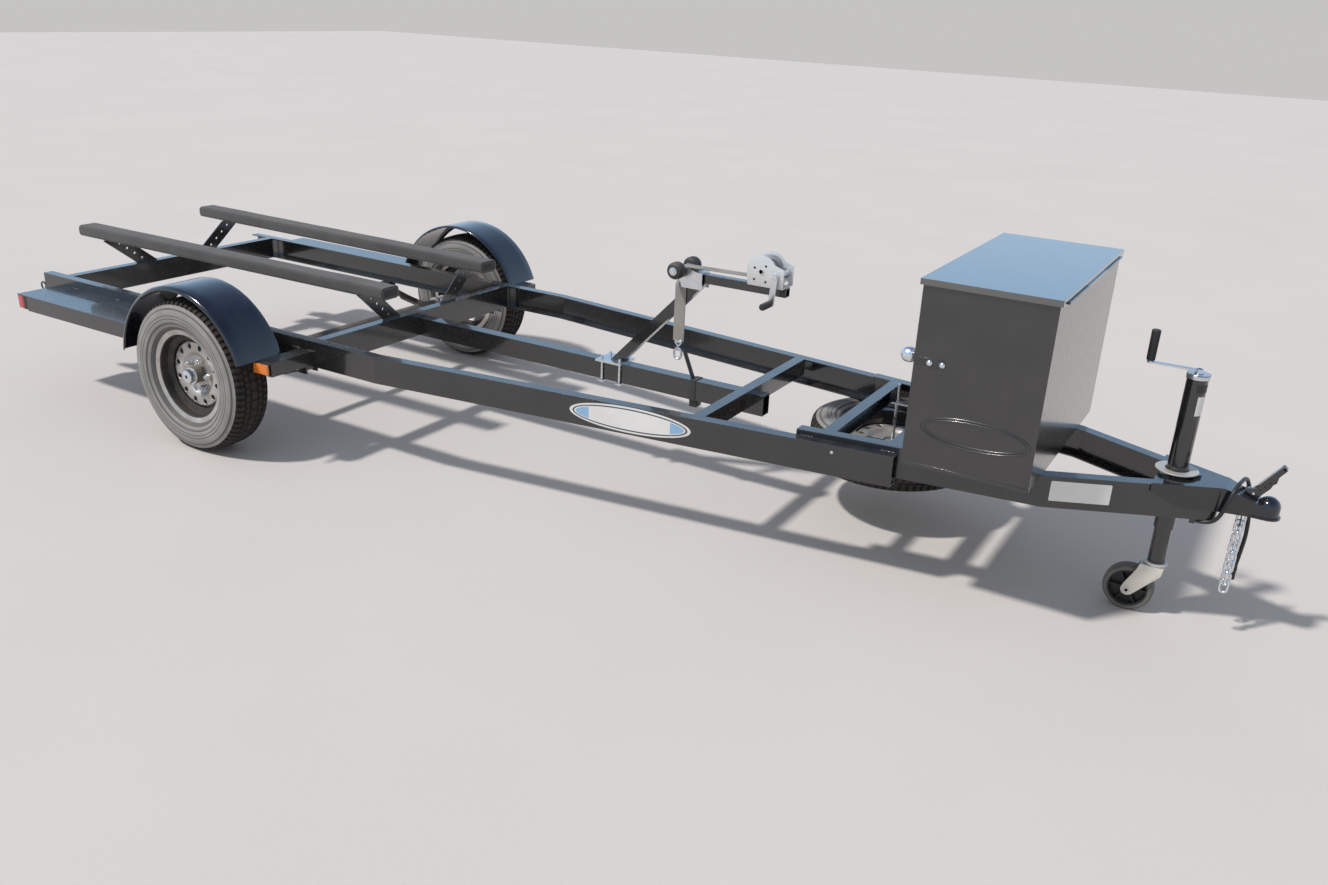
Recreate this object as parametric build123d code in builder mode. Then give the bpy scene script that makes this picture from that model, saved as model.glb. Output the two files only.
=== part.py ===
"""Single-axle boat trailer, parked on its tyres and its front jack.

Millimetres. +X points forward to the coupler, +Y to the trailer's left, +Z up.
The ground is z = 0 and the axle line is at x = AXLE_X. Stations behind the rails' bend are
given from the axle and those ahead of it from the coupler's nose. The origin is on the ground
midway along the whole length.
"""
from build123d import *
import os
from math import atan2, cos, hypot, pi, radians, sin, sqrt, tan

os.makedirs("parts", exist_ok=True)

# Running fits and seats
SHAFT_GAP = 0.06      # radial play of a shaft that turns in its bore
BODY_GAP = 0.3        # play between curved faces of two moving bodies
SIDES = (("right", -1), ("left", 1))

# Overall reach: the origin is midway between the bunks' rear ends and the coupler's nose
REAR_REACH = 1345.0
FRONT_REACH = 3711.0
AXLE_X = (REAR_REACH - FRONT_REACH) / 2
NOSE_X = AXLE_X + FRONT_REACH

# Distances from the axle line
RAIL_TAIL = 1305.0
RAIL_STRAIGHT = 725.0
STEP_TAIL = 1187.0
REAR_CROSS_BACK = 1150.0
BRACKET_REAR = 285.0
BRACKET_AHEAD = 405.0
MAIN_CROSS_AHEAD = 425.0
BUNK_AHEAD = 530.0

# Distances behind the coupler's nose
STAND_BACK = 2296.0
MID_CROSS_BACK = 1698.0
TONGUE_START_BACK = 1386.0
FRONT_CROSS_BACK = 1314.0
SPARE_BACK = 1264.0
RAIL_END_BACK = 1058.0
BOX_BACK = 1014.0
TONGUE_BEND_BACK = 621.0
COUPLER_BACK = 346.0
JACK_BACK = 298.0
TONGUE_END_BACK = 166.0
CHAIN_BACK = 99.0

# Side rails: channels with their webs outward, straight at the back, drawn in at the front
REAR_X = AXLE_X - RAIL_TAIL
BEND_X = AXLE_X + RAIL_STRAIGHT
RAIL_END_X = NOSE_X - RAIL_END_BACK
HALF_WIDTH = 604.0
HALF_WIDTH_FRONT = 357.0
RAIL_BOTTOM = 357.0
RAIL_DEPTH = 101.6
RAIL_FLANGE = 41.3
RAIL_WALL = 5.0
RING_R = 16.0
RING_WIRE = 4.0
RING_STUB = 6.0
RING_Z = RAIL_BOTTOM + 38.0
RAIL_TOP = RAIL_BOTTOM + RAIL_DEPTH

# Tongue rails: nested inside the side rails' front, then drawn in to the coupler
TONGUE_START_X = NOSE_X - TONGUE_START_BACK
TONGUE_BEND_X = NOSE_X - TONGUE_BEND_BACK
TONGUE_END_X = NOSE_X - TONGUE_END_BACK
TONGUE_END_Y = 47.2
TONGUE_RISE = 18.0
TONGUE_BOTTOM = RAIL_BOTTOM + TONGUE_RISE
TONGUE_TOP = TONGUE_BOTTOM + RAIL_DEPTH

# Crossmembers and centre beam
CROSS_FLANGE = 41.3
CROSS_WALL = 5.0
REAR_CROSS_X = AXLE_X - REAR_CROSS_BACK
MAIN_CROSS_X = AXLE_X + MAIN_CROSS_AHEAD
MID_CROSS_X = NOSE_X - MID_CROSS_BACK
MID_CROSS_DEPTH = 64.0
FRONT_CROSS_X = NOSE_X - FRONT_CROSS_BACK
FRONT_CROSS_DEPTH = 52.0
END_CROSS_DEPTH = 88.0
BEAM_WIDTH = 50.8
BEAM_DEPTH = 76.2
BEAM_WALL = 4.0
BEAM_TOP = 431.0
BEAM_END_X = MID_CROSS_X + 34.0

# Axle, springs and wheels
TYRE_R = 302.0
TYRE_SECTION = 176.0
TYRE_TREAD = 132.0
TYRE_WALL = 11.0
WHEEL_OFF_RAIL = 202.0
HALF_TRACK = HALF_WIDTH + WHEEL_OFF_RAIL
RIM_R = 182.0
RIM_SEAT_R = 165.0
RIM_DROP_R = 141.0
RIM_WIDTH = 114.0
RIM_WALL = 3.5
LUG_CIRCLE_R = 57.15
LUG_COUNT = 5
STUD_R = 6.0
NUT_ACROSS_FLATS = 19.0
VENT_COUNT = 12
VENT_R = 10.0
VENT_CIRCLE_R = 112.0
AXLE_TUBE_R = 25.0
AXLE_TUBE_WALL = 5.0
SPINDLE_R = 17.5
HUB_R = 33.0
HUB_FLANGE_R = 70.0
HUB_FLANGE_T = 10.0
HUB_BACK = 88.0        # hub barrel behind the wheel's mounting face
HUB_FRONT = 44.0       # hub barrel in front of it
CAP_LENGTH = 26.0
SPRING_Y = HALF_WIDTH - 32.0
SPRING_HALF = 330.0
SPRING_WIDTH = 45.0
SPRING_LEAF = 7.0
SPRING_SAG = 52.0
SPRING_EYE_R = 14.0
SPRING_PIN_R = 7.0
HANGER_WALL = 6.0
UBOLT_R = 5.0

# Fenders, steps and lamps
FENDER_R = 357.0
FENDER_SHEET = 3.0
FENDER_OFF_RAIL = 88.0
FENDER_WIDTH = 204.0
FENDER_INNER_Y = HALF_WIDTH + FENDER_OFF_RAIL
FENDER_OUTER_Y = FENDER_INNER_Y + FENDER_WIDTH
FENDER_LIP = 16.0
FENDER_FRONT_DEG = 19.0
FENDER_REAR_DEG = 172.0
STEP_TOP = 420.0
STEP_OUTER_Y = HALF_TRACK
STEP_SHEET = 4.0
STEP_DROP = 66.0
STEP_REAR_X = AXLE_X - STEP_TAIL
BRACKET_FRONT_X = AXLE_X + BRACKET_AHEAD
BRACKET_REAR_X = AXLE_X + BRACKET_REAR
BRACKET_DROP = 54.0
TAIL_LAMP = (66.0, 150.0, 58.0)
MARKER_LAMP = (84.0, 14.0, 44.0)

# Bunks: carpeted boards on sloping plates
BUNK_REAR_X = AXLE_X - REAR_REACH
BUNK_FRONT_X = AXLE_X + BUNK_AHEAD
BUNK_REAR_Y = 332.0
BUNK_FRONT_Y = 303.0
BUNK_WIDTH = 98.0
BUNK_THICK = 50.0
BUNK_BOTTOM = 586.0
BUNK_ROUND = 12.0
BUNK_PLATE = 6.0
BUNK_PLATE_WIDTH = 66.0
BUNK_FOOT_Y = 170.0
BUNK_HOLE_R = 6.0
BUNK_HOLE_COUNT = 4

# Winch stand
STAND_LEAN = 342.0
STAND_REACH = 680.0
STAND_FOOT_X = NOSE_X - STAND_BACK
STAND_TOP_X = STAND_FOOT_X + STAND_LEAN
STAND_TUBE = 38.0
STAND_ARM_Z = 814.0
STAND_ARM_TUBE = 32.0
STAND_ARM_END_X = STAND_FOOT_X + STAND_REACH
STAND_WALL = 3.0
STAND_UBOLTS_X = (STAND_FOOT_X - 58.0, STAND_FOOT_X + 22.0)
WINCH_X = STAND_ARM_END_X - 86.0
WINCH_Z = 882.0
WINCH_PLATE_R = 56.0
WINCH_HALF = 42.0
WINCH_SHEET = 4.0
DRUM_R = 30.0
CRANK_X = WINCH_X + 61.0
ROLLER_X = STAND_TOP_X - 74.0
ROLLER_Z = 838.0
ROLLER_R = 31.0
ROLLER_LENGTH = 46.0
ROLLER_Y = 58.0
ROLLER_SHAFT_R = 8.0
STRAP_WIDTH = 45.0
STRAP_THICK = 3.0
STRAP_LOW_Z = 572.0
HOOK_LOW_Z = 496.0

# Spare wheel under the frame
SPARE_X = NOSE_X - SPARE_BACK
SPARE_Y = 255.0
SPARE_TOP = 355.0
CARRIER_ROD_R = 7.0
CARRIER_ROD_TOP = 488.0
CARRIER_BAR = (50.0, 6.0)

# Storage box on the tongue
BOX_LENGTH = 380.0
BOX_REAR_X = NOSE_X - BOX_BACK
BOX_FRONT_X = BOX_REAR_X + BOX_LENGTH
BOX_HALF_WIDTH = 424.0
BOX_TOP = 1037.0
BOX_SHEET = 3.0
LID_SHEET = 3.0
LID_OVERHANG = 8.0
LID_LIP = 18.0
HINGE_R = 3.2
HINGE_PIN_R = 1.5

# Jack
JACK_X = NOSE_X - JACK_BACK
JACK_TUBE_R = 30.0
JACK_WALL = 4.0
JACK_TOP = 784.0
JACK_LOW = 300.0
JACK_FLANGE = 9.0
LEG_TOP = 650.0
LEG_LOW = 175.0
LEG_WALL = 4.0
SWIVEL_PLATE = 9.0
CASTER_R = 76.0
CASTER_WIDTH = 46.0
CASTER_TRAIL = 62.0
FORK_SHEET = 4.0
CASTER_AXLE_R = 6.0
CRANK_REACH = 136.0
CRANK_Z = 800.0
GRIP_LENGTH = 96.0
GRIP_R = 13.0

# Coupler
COUPLER_REAR_X = NOSE_X - COUPLER_BACK
NOSE_R = 38.0
COUPLER_BALL_X = NOSE_X - NOSE_R
COUPLER_SHEET = 6.0
COUPLER_LOW = 408.0
NECK_LOW_X = NOSE_X - 66.0    # where the neck's slope meets the dome
NECK_LOW_Z = 453.0
DOME_R = 33.0
LIP = 5.0
BALL_R = 25.7
BALL_DEPTH = 30.0

# Safety chains and wiring lead
LINK_WIRE = 8.0
LINK_PITCH = 34.0
LINK_OUT = 30.0
LINK_COUNT = 7
CHAIN_X = NOSE_X - CHAIN_BACK
CHAIN_Y = 28.0
CHAIN_TOP_Z = 368.0
LUG_THICK = 4.0
LUG_HOLE_R = 8.0
LUG_EDGE = 5.0
LUG_PLAY = 0.6
LEAD_SIDE = -1
LEAD_R = 6.0
LEAD_START = (NOSE_X - 215.0, -56.0, TONGUE_BOTTOM - 9.0)
CLIP_LENGTH = 16.0
CLIP_HALF = 8.0


def inward(points, distance):
    """A plan line with y > 0 moved towards the centre line by a distance, mitred at its bends."""
    moved = []
    for i, (x, y) in enumerate(points):
        normals = []
        for a, b in ((i - 1, i), (i, i + 1)):
            if a >= 0 and b < len(points):
                dx, dy = points[b][0] - points[a][0], points[b][1] - points[a][1]
                length = hypot(dx, dy)
                normals.append((dy / length, -dx / length))
        if len(normals) == 1:
            moved.append((x, y + distance / normals[0][1]))
        else:
            (ax, ay), (bx, by) = normals
            scale = distance / (1 + ax * bx + ay * by)
            moved.append((x + (ax + bx) * scale, y + (ay + by) * scale))
    return moved


def band(points, near, far, side):
    """Closed outline of the strip between two inward offsets of a plan line, on one side."""
    outline = inward(points, near) + inward(points, far)[::-1]
    return [(x, side * y) for x, y in outline]


def ribbon(points, thickness):
    """Closed outline of a strip laid along a line of points, mitred, half its thickness each way."""
    left, right = [], []
    for i, (x, z) in enumerate(points):
        normals = []
        for a, b in ((i - 1, i), (i, i + 1)):
            if a >= 0 and b < len(points):
                dx, dz = points[b][0] - points[a][0], points[b][1] - points[a][1]
                length = hypot(dx, dz)
                normals.append((-dz / length, dx / length))
        (ax, az), (bx, bz) = normals[0], normals[-1]
        scale = thickness / 2 / (1 + ax * bx + az * bz)
        mx, mz = ax + bx, az + bz
        left.append((x + mx * scale, z + mz * scale))
        right.append((x - mx * scale, z - mz * scale))
    return left + right[::-1]


def y_on(points, x):
    """The y of a plan line at x."""
    for (x0, y0), (x1, y1) in zip(points, points[1:]):
        if x <= x1 or (x1, y1) == points[-1]:
            return y0 + (y1 - y0) * (x - x0) / (x1 - x0)


def slab(outline, low, high, mode=Mode.ADD):
    """Inside a part: a plan outline filled from one height to another."""
    with BuildSketch(Plane.XY.offset(low)) as plan:
        with BuildLine():
            Polyline(*outline, close=True)
        make_face()
    extrude(plan.sketch, amount=high - low, dir=(0, 0, 1), mode=mode)


def side_slab(outline, y_low, y_high, mode=Mode.ADD):
    """Inside a part: an outline of (x, z) points filled from one y to another."""
    with BuildSketch(Plane(origin=(0, y_low, 0), x_dir=(1, 0, 0), z_dir=(0, -1, 0))) as profile:
        with BuildLine():
            Polyline(*outline, close=True)
        make_face()
    extrude(profile.sketch, amount=y_high - y_low, dir=(0, 1, 0), mode=mode)


def bar(x0, x1, y0, y1, z0, z1, mode=Mode.ADD):
    """Inside a part: a block between pairs of limits."""
    with Locations(((x0 + x1) / 2, (y0 + y1) / 2, (z0 + z1) / 2)):
        Box(x1 - x0, abs(y1 - y0), z1 - z0, mode=mode)


def rod_y(x, z, radius, y0, y1, mode=Mode.ADD):
    """Inside a part: a round bar along Y."""
    with Locations(Location((x, (y0 + y1) / 2, z), (90, 0, 0))):
        Cylinder(radius, abs(y1 - y0), mode=mode)


def rod_z(x, y, radius, z0, z1, mode=Mode.ADD):
    """Inside a part: a round bar along Z."""
    with Locations((x, y, (z0 + z1) / 2)):
        Cylinder(radius, z1 - z0, mode=mode)


def channel(line, low, high, side):
    """Inside a part: a channel along a plan line, web outward, flanges inward."""
    slab(band(line, 0, RAIL_FLANGE, side), low, low + RAIL_WALL)
    slab(band(line, 0, RAIL_FLANGE, side), high - RAIL_WALL, high)
    slab(band(line, 0, RAIL_WALL, side), low, high)


def save(part, name):
    """Label a finished piece and write it to its own file."""
    part.part.label = name
    export_step(part.part, f"parts/{name}.step")


# Plan lines of the left rails; the right ones mirror them
rail_line = [(REAR_X, HALF_WIDTH), (BEND_X, HALF_WIDTH), (RAIL_END_X, HALF_WIDTH_FRONT)]
rail_tips = inward(rail_line, RAIL_FLANGE)
tongue_start_y = y_on(rail_tips, TONGUE_START_X)
tongue_bend_y = y_on(rail_tips, TONGUE_BEND_X)
tongue_angle = atan2(tongue_bend_y - TONGUE_END_Y, TONGUE_END_X - TONGUE_BEND_X)
tongue_line = [
    (TONGUE_START_X, tongue_start_y),
    (TONGUE_BEND_X, tongue_bend_y),
    (TONGUE_END_X, TONGUE_END_Y),
]
tongue_tips = inward(tongue_line, RAIL_FLANGE)

# Side and tongue rails
for side_name, side in SIDES:
    with BuildPart() as side_rail:
        channel(rail_line, RAIL_BOTTOM, RAIL_TOP, side)
    save(side_rail, f"side_rail_{side_name}")
    with BuildPart() as tongue_rail:
        channel(tongue_line, TONGUE_BOTTOM, TONGUE_TOP, side)
        if side == LEAD_SIDE:
            clip_x, clip_y, clip_z = LEAD_START
            bar(clip_x - CLIP_LENGTH, clip_x - BODY_GAP, clip_y - CLIP_HALF, clip_y + CLIP_HALF,
                clip_z - CLIP_HALF, TONGUE_BOTTOM)
    save(tongue_rail, f"tongue_rail_{side_name}")


# Tie-down rings, each on a short stub welded to a rail's rear end
with BuildPart() as tie_rings:
    for side_name, side in SIDES:
        ring_x = REAR_X - RING_STUB - RING_R
        ring_y = side * (HALF_WIDTH - RING_WIRE)
        with BuildSketch(Plane(origin=(ring_x, ring_y, RING_Z), x_dir=(0, 0, 1), z_dir=(1, 0, 0))):
            with Locations((RING_R, 0)):
                Circle(RING_WIRE)
        revolve(axis=Axis((ring_x, ring_y, RING_Z), (0, 1, 0)))
        bar(REAR_X - RING_STUB, REAR_X, ring_y - RING_WIRE, ring_y + RING_WIRE,
            RING_Z - 2 * RING_WIRE, RING_Z + 2 * RING_WIRE)
save(tie_rings, "tie_rings")


def crossmember(tips, web_x, flange_way, low, high):
    """Inside a part: a channel across the frame, its web's face at web_x, flanges to one side."""
    far_x = web_x + flange_way * CROSS_FLANGE
    inner_x = web_x + flange_way * CROSS_WALL
    for x_stop, z0, z1 in ((inner_x, low, high), (far_x, low, low + CROSS_WALL),
                           (far_x, high - CROSS_WALL, high)):
        slab([(web_x, -y_on(tips, web_x)), (x_stop, -y_on(tips, x_stop)),
              (x_stop, y_on(tips, x_stop)), (web_x, y_on(tips, web_x))], z0, z1)


with BuildPart() as crossmembers:
    crossmember(rail_tips, REAR_CROSS_X, -1, RAIL_BOTTOM, RAIL_TOP)
    crossmember(rail_tips, MAIN_CROSS_X, -1, RAIL_BOTTOM, RAIL_TOP)
    crossmember(rail_tips, MID_CROSS_X, -1, RAIL_TOP - MID_CROSS_DEPTH, RAIL_TOP)
    bar(MID_CROSS_X - CROSS_FLANGE, MID_CROSS_X, -BEAM_WIDTH / 2, BEAM_WIDTH / 2,
        RAIL_TOP - MID_CROSS_DEPTH, BEAM_TOP, mode=Mode.SUBTRACT)
save(crossmembers, "crossmembers")

with BuildPart() as tongue_crossmembers:
    crossmember(tongue_tips, FRONT_CROSS_X, 1, TONGUE_TOP - FRONT_CROSS_DEPTH, TONGUE_TOP)
    crossmember(tongue_tips, RAIL_END_X, -1, TONGUE_TOP - END_CROSS_DEPTH, TONGUE_TOP)
save(tongue_crossmembers, "tongue_crossmembers")

with BuildPart() as centre_beam:
    bar(MAIN_CROSS_X, BEAM_END_X, -BEAM_WIDTH / 2, BEAM_WIDTH / 2, BEAM_TOP - BEAM_DEPTH, BEAM_TOP)
    bar(MAIN_CROSS_X, BEAM_END_X, -BEAM_WIDTH / 2 + BEAM_WALL, BEAM_WIDTH / 2 - BEAM_WALL,
        BEAM_TOP - BEAM_DEPTH + BEAM_WALL, BEAM_TOP - BEAM_WALL, mode=Mode.SUBTRACT)
save(centre_beam, "centre_beam")

# Axle: a tube with a spindle at each end
SPINDLE_START_Y = HALF_TRACK - HUB_BACK - 12.0
SPINDLE_END_Y = HALF_TRACK + HUB_FRONT - 6.0
with BuildPart() as axle_beam:
    rod_y(AXLE_X, TYRE_R, AXLE_TUBE_R, -SPINDLE_START_Y, SPINDLE_START_Y)
    rod_y(AXLE_X, TYRE_R, AXLE_TUBE_R - AXLE_TUBE_WALL, -SPINDLE_START_Y + 30, SPINDLE_START_Y - 30,
          mode=Mode.SUBTRACT)
    rod_y(AXLE_X, TYRE_R, SPINDLE_R, SPINDLE_START_Y, SPINDLE_END_Y)
    rod_y(AXLE_X, TYRE_R, SPINDLE_R, -SPINDLE_END_Y, -SPINDLE_START_Y)
save(axle_beam, "axle_beam")

# Leaf springs: a shallow arc of three leaves under the axle, with an eye at each end
arc_r = (SPRING_HALF ** 2 + SPRING_SAG ** 2) / (2 * SPRING_SAG)
EYE_LEAF = SPRING_EYE_R - SPRING_LEAF


def leaf(length, top_z, y0, y1):
    """Inside a part: one leaf of the spring, bowed down at its middle."""
    rise = arc_r - sqrt(arc_r ** 2 - length ** 2)
    low_z = top_z - SPRING_LEAF
    with BuildSketch(Plane(origin=(AXLE_X, y0, 0), x_dir=(1, 0, 0), z_dir=(0, -1, 0))) as profile:
        with BuildLine():
            ThreePointArc((-length, top_z + rise), (0, top_z), (length, top_z + rise))
            Line((length, top_z + rise), (length, low_z + rise))
            ThreePointArc((length, low_z + rise), (0, low_z), (-length, low_z + rise))
            Line((-length, low_z + rise), (-length, top_z + rise))
        make_face()
    extrude(profile.sketch, amount=y1 - y0, dir=(0, 1, 0))


main_top = TYRE_R - AXLE_TUBE_R
eye_height = main_top + SPRING_SAG + EYE_LEAF
with BuildPart() as leaf_springs:
    for side_name, side in SIDES:
        y0 = side * SPRING_Y - SPRING_WIDTH / 2
        y1 = side * SPRING_Y + SPRING_WIDTH / 2
        for share, step in ((1.0, 0), (0.72, 1), (0.44, 2)):
            leaf(SPRING_HALF * share, main_top - step * SPRING_LEAF, y0, y1)
        for end in (-1, 1):
            x = AXLE_X + end * (SPRING_HALF + EYE_LEAF)
            rod_y(x, eye_height, SPRING_EYE_R, y0, y1)
            for wall0, wall1 in ((y0 - HANGER_WALL - 1, y0 - 1), (y1 + 1, y1 + HANGER_WALL + 1)):
                bar(x - 22, x + 22, wall0, wall1, eye_height - 20, RAIL_BOTTOM)
            bar(x - 22, x + 22, y0 - 1, y1 + 1, RAIL_BOTTOM - 4, RAIL_BOTTOM)
            rod_y(x, eye_height, SPRING_PIN_R, y0 - HANGER_WALL - 6, y1 + HANGER_WALL + 6)
save(leaf_springs, "leaf_springs")

with BuildPart() as axle_clamps:
    for side_name, side in SIDES:
        y0 = side * SPRING_Y - SPRING_WIDTH / 2
        y1 = side * SPRING_Y + SPRING_WIDTH / 2
        plate_top = main_top - 3 * SPRING_LEAF
        bar(AXLE_X - 48, AXLE_X + 48, y0 - 18, y1 + 18, plate_top - 8, plate_top)
        for y in (y0 - UBOLT_R - 1, y1 + UBOLT_R + 1):
            for x in (AXLE_X - AXLE_TUBE_R - UBOLT_R, AXLE_X + AXLE_TUBE_R + UBOLT_R):
                rod_z(x, y, UBOLT_R, plate_top - 20, TYRE_R)
            with BuildSketch(Plane(origin=(AXLE_X, y + UBOLT_R, TYRE_R), x_dir=(1, 0, 0),
                                   z_dir=(0, -1, 0))):
                with BuildLine():
                    outer, inner = AXLE_TUBE_R + 2 * UBOLT_R, AXLE_TUBE_R
                    ThreePointArc((-outer, 0), (0, outer), (outer, 0))
                    Line((outer, 0), (inner, 0))
                    ThreePointArc((inner, 0), (0, inner), (-inner, 0))
                    Line((-inner, 0), (-outer, 0))
                make_face()
            extrude(amount=2 * UBOLT_R)
save(axle_clamps, "axle_clamps")


def ring_profile(points, axis_origin, axis, x_dir):
    """Inside a part: a closed outline of (along, radius) points turned about an axis."""
    with BuildSketch(Plane(origin=axis_origin, x_dir=axis, z_dir=x_dir)) as profile:
        with BuildLine():
            Polyline(*points, close=True)
        make_face()
    revolve(profile.sketch, axis=Axis(axis_origin, axis))


def tyre_solid(centre, axis, z_dir):
    """Inside a part: a hollow tyre about an axis, open at its beads."""
    half, bead = TYRE_SECTION / 2, RIM_WIDTH / 2
    waist_r = RIM_R + 62.0
    shoulder_r = TYRE_R - 7.0
    tread = TYRE_TREAD / 2
    wall = TYRE_WALL
    with BuildSketch(Plane(origin=centre, x_dir=axis, z_dir=z_dir)) as profile:
        with BuildLine():
            for way in (1, -1):
                Line((way * (bead - wall), RIM_SEAT_R), (way * bead, RIM_SEAT_R))
                Line((way * bead, RIM_SEAT_R), (way * bead, RIM_R + 1))
                ThreePointArc((way * bead, RIM_R + 1), (way * half, waist_r),
                              (way * tread, shoulder_r))
                Line((way * (bead - wall), RIM_SEAT_R), (way * (bead - wall), RIM_R - 2))
                ThreePointArc((way * (bead - wall), RIM_R - 2), (way * (half - wall), waist_r),
                              (way * (tread - wall), shoulder_r - wall))
            ThreePointArc((tread, shoulder_r), (0, TYRE_R), (-tread, shoulder_r))
            Line((tread - wall, shoulder_r - wall), (-tread + wall, shoulder_r - wall))
        make_face()
    revolve(profile.sketch, axis=Axis(centre, axis))


def rim_solid(centre, axis, z_dir, drop=22.0):
    """Inside a part: rim barrel with its disc; the disc's mounting face is at the centre."""
    half = RIM_WIDTH / 2
    w = RIM_WALL
    barrel = [(-half, RIM_R), (-half - 5, RIM_R), (-half - 5, RIM_SEAT_R - w),
              (-drop - w, RIM_SEAT_R - w), (-drop, RIM_DROP_R - w), (drop, RIM_DROP_R - w),
              (drop + w, RIM_SEAT_R - w), (half + 5, RIM_SEAT_R - w), (half + 5, RIM_R),
              (half, RIM_R), (half, RIM_SEAT_R), (drop, RIM_SEAT_R), (drop - w, RIM_DROP_R),
              (-drop + w, RIM_DROP_R), (-drop, RIM_SEAT_R), (-half, RIM_SEAT_R)]
    ring_profile(barrel, centre, axis, z_dir)
    disc = [(0, HUB_R + 0.5), (0, 76), (14, 88), (14, 128), (-6, RIM_DROP_R - w),
            (-6 + 5, RIM_DROP_R - w), (18, 130), (18, 87), (4, 74), (4, HUB_R + 0.5)]
    ring_profile(disc, centre, axis, z_dir)
    plane = Plane(origin=centre, x_dir=z_dir, z_dir=axis)
    with Locations(plane):
        with PolarLocations(VENT_CIRCLE_R - 4, VENT_COUNT):
            Cylinder(VENT_R, 60, mode=Mode.SUBTRACT)
        with PolarLocations(LUG_CIRCLE_R, LUG_COUNT):
            Cylinder(STUD_R + 0.5, 60, mode=Mode.SUBTRACT)


for side_name, side in SIDES:
    hub_centre = (AXLE_X, side * HALF_TRACK, TYRE_R)
    outward = (0, side, 0)
    with BuildPart() as tyre:
        tyre_solid(hub_centre, outward, (1, 0, 0))
    save(tyre, f"tyre_{side_name}")
    with BuildPart() as rim:
        rim_solid(hub_centre, outward, (1, 0, 0))
    save(rim, f"rim_{side_name}")
    with BuildPart() as hub:
        bore_r = SPINDLE_R + SHAFT_GAP
        profile = [(-HUB_BACK, bore_r), (-HUB_BACK, HUB_R), (-HUB_FLANGE_T, HUB_R),
                   (-HUB_FLANGE_T, HUB_FLANGE_R), (0, HUB_FLANGE_R), (0, HUB_R), (HUB_FRONT, HUB_R),
                   (HUB_FRONT, HUB_R - 5), (HUB_FRONT + CAP_LENGTH - 6, HUB_R - 5),
                   (HUB_FRONT + CAP_LENGTH, HUB_R - 12), (HUB_FRONT + CAP_LENGTH, 0),
                   (HUB_FRONT, 0), (HUB_FRONT, bore_r)]
        ring_profile(profile, hub_centre, outward, (1, 0, 0))
        with Locations(Plane(origin=hub_centre, x_dir=(1, 0, 0), z_dir=outward)):
            with PolarLocations(LUG_CIRCLE_R, LUG_COUNT):
                Cylinder(STUD_R, 30, align=(Align.CENTER, Align.CENTER, Align.MIN))
                with Locations((0, 0, 4)):
                    Cylinder(NUT_ACROSS_FLATS / 2, 18, align=(Align.CENTER, Align.CENTER, Align.MIN))
    save(hub, f"hub_{side_name}")

# Fenders: a rolled band over each tyre with its edges turned down
for side_name, side in SIDES:
    with BuildPart() as fender:
        inner_r = FENDER_R - FENDER_SHEET
        start, arc = FENDER_FRONT_DEG, FENDER_REAR_DEG - FENDER_FRONT_DEG
        section = [(FENDER_INNER_Y, FENDER_R), (FENDER_OUTER_Y, FENDER_R),
                   (FENDER_OUTER_Y, FENDER_R - FENDER_LIP),
                   (FENDER_OUTER_Y - FENDER_SHEET, FENDER_R - FENDER_LIP),
                   (FENDER_OUTER_Y - FENDER_SHEET, inner_r), (FENDER_INNER_Y, inner_r)]
        ends = Vector(cos(radians(start)), 0, sin(radians(start)))
        with BuildSketch(Plane(origin=(AXLE_X, 0, TYRE_R), x_dir=(0, side, 0),
                               z_dir=Vector(0, side, 0).cross(ends))):
            with BuildLine():
                Polyline(*section, close=True)
            make_face()
        revolve(axis=Axis((AXLE_X, 0, TYRE_R), (0, -1, 0)), revolution_arc=arc)
    save(fender, f"fender_{side_name}")

# Steps behind the fenders and brackets in front of them, folded sheet
with BuildPart() as steps:
    for side_name, side in SIDES:
        wall_y = side * HALF_WIDTH
        edge_y = side * STEP_OUTER_Y
        lip_y = side * (STEP_OUTER_Y - STEP_SHEET)
        lamp_front_x = STEP_REAR_X + TAIL_LAMP[0]
        behind_x = AXLE_X - FENDER_R + 30
        low = STEP_TOP - BRACKET_DROP
        bar(STEP_REAR_X, behind_x, wall_y, edge_y, STEP_TOP - STEP_SHEET, STEP_TOP)
        bar(lamp_front_x, behind_x, lip_y, edge_y, STEP_TOP - STEP_DROP, STEP_TOP)
        bar(lamp_front_x, lamp_front_x + STEP_SHEET, wall_y, edge_y, STEP_TOP - STEP_DROP, STEP_TOP)
        bar(BRACKET_REAR_X, BRACKET_FRONT_X, wall_y, edge_y, STEP_TOP - STEP_SHEET, STEP_TOP)
        bar(BRACKET_FRONT_X - STEP_SHEET, BRACKET_FRONT_X, wall_y, edge_y, low, STEP_TOP)
        bar(BRACKET_REAR_X, BRACKET_FRONT_X, lip_y, edge_y, low, STEP_TOP)
    rod_y(AXLE_X, TYRE_R, FENDER_R, -FENDER_OUTER_Y - 20, FENDER_OUTER_Y + 20, mode=Mode.SUBTRACT)
save(steps, "steps")

with BuildPart() as tail_lamps:
    for side_name, side in SIDES:
        edge_y = side * STEP_OUTER_Y
        length, width, height = TAIL_LAMP
        top = STEP_TOP - STEP_SHEET
        bar(STEP_REAR_X, STEP_REAR_X + length, edge_y, side * (STEP_OUTER_Y - width),
            top - height, top)
save(tail_lamps, "tail_lamps")

with BuildPart() as marker_lamps:
    for side_name, side in SIDES:
        edge_y = side * STEP_OUTER_Y
        length, depth, height = MARKER_LAMP
        x1 = BRACKET_FRONT_X - 6.0
        bar(x1 - length, x1, edge_y, side * (STEP_OUTER_Y + depth),
            STEP_TOP - 5.0 - height, STEP_TOP - 5.0)
save(marker_lamps, "marker_lamps")

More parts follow.
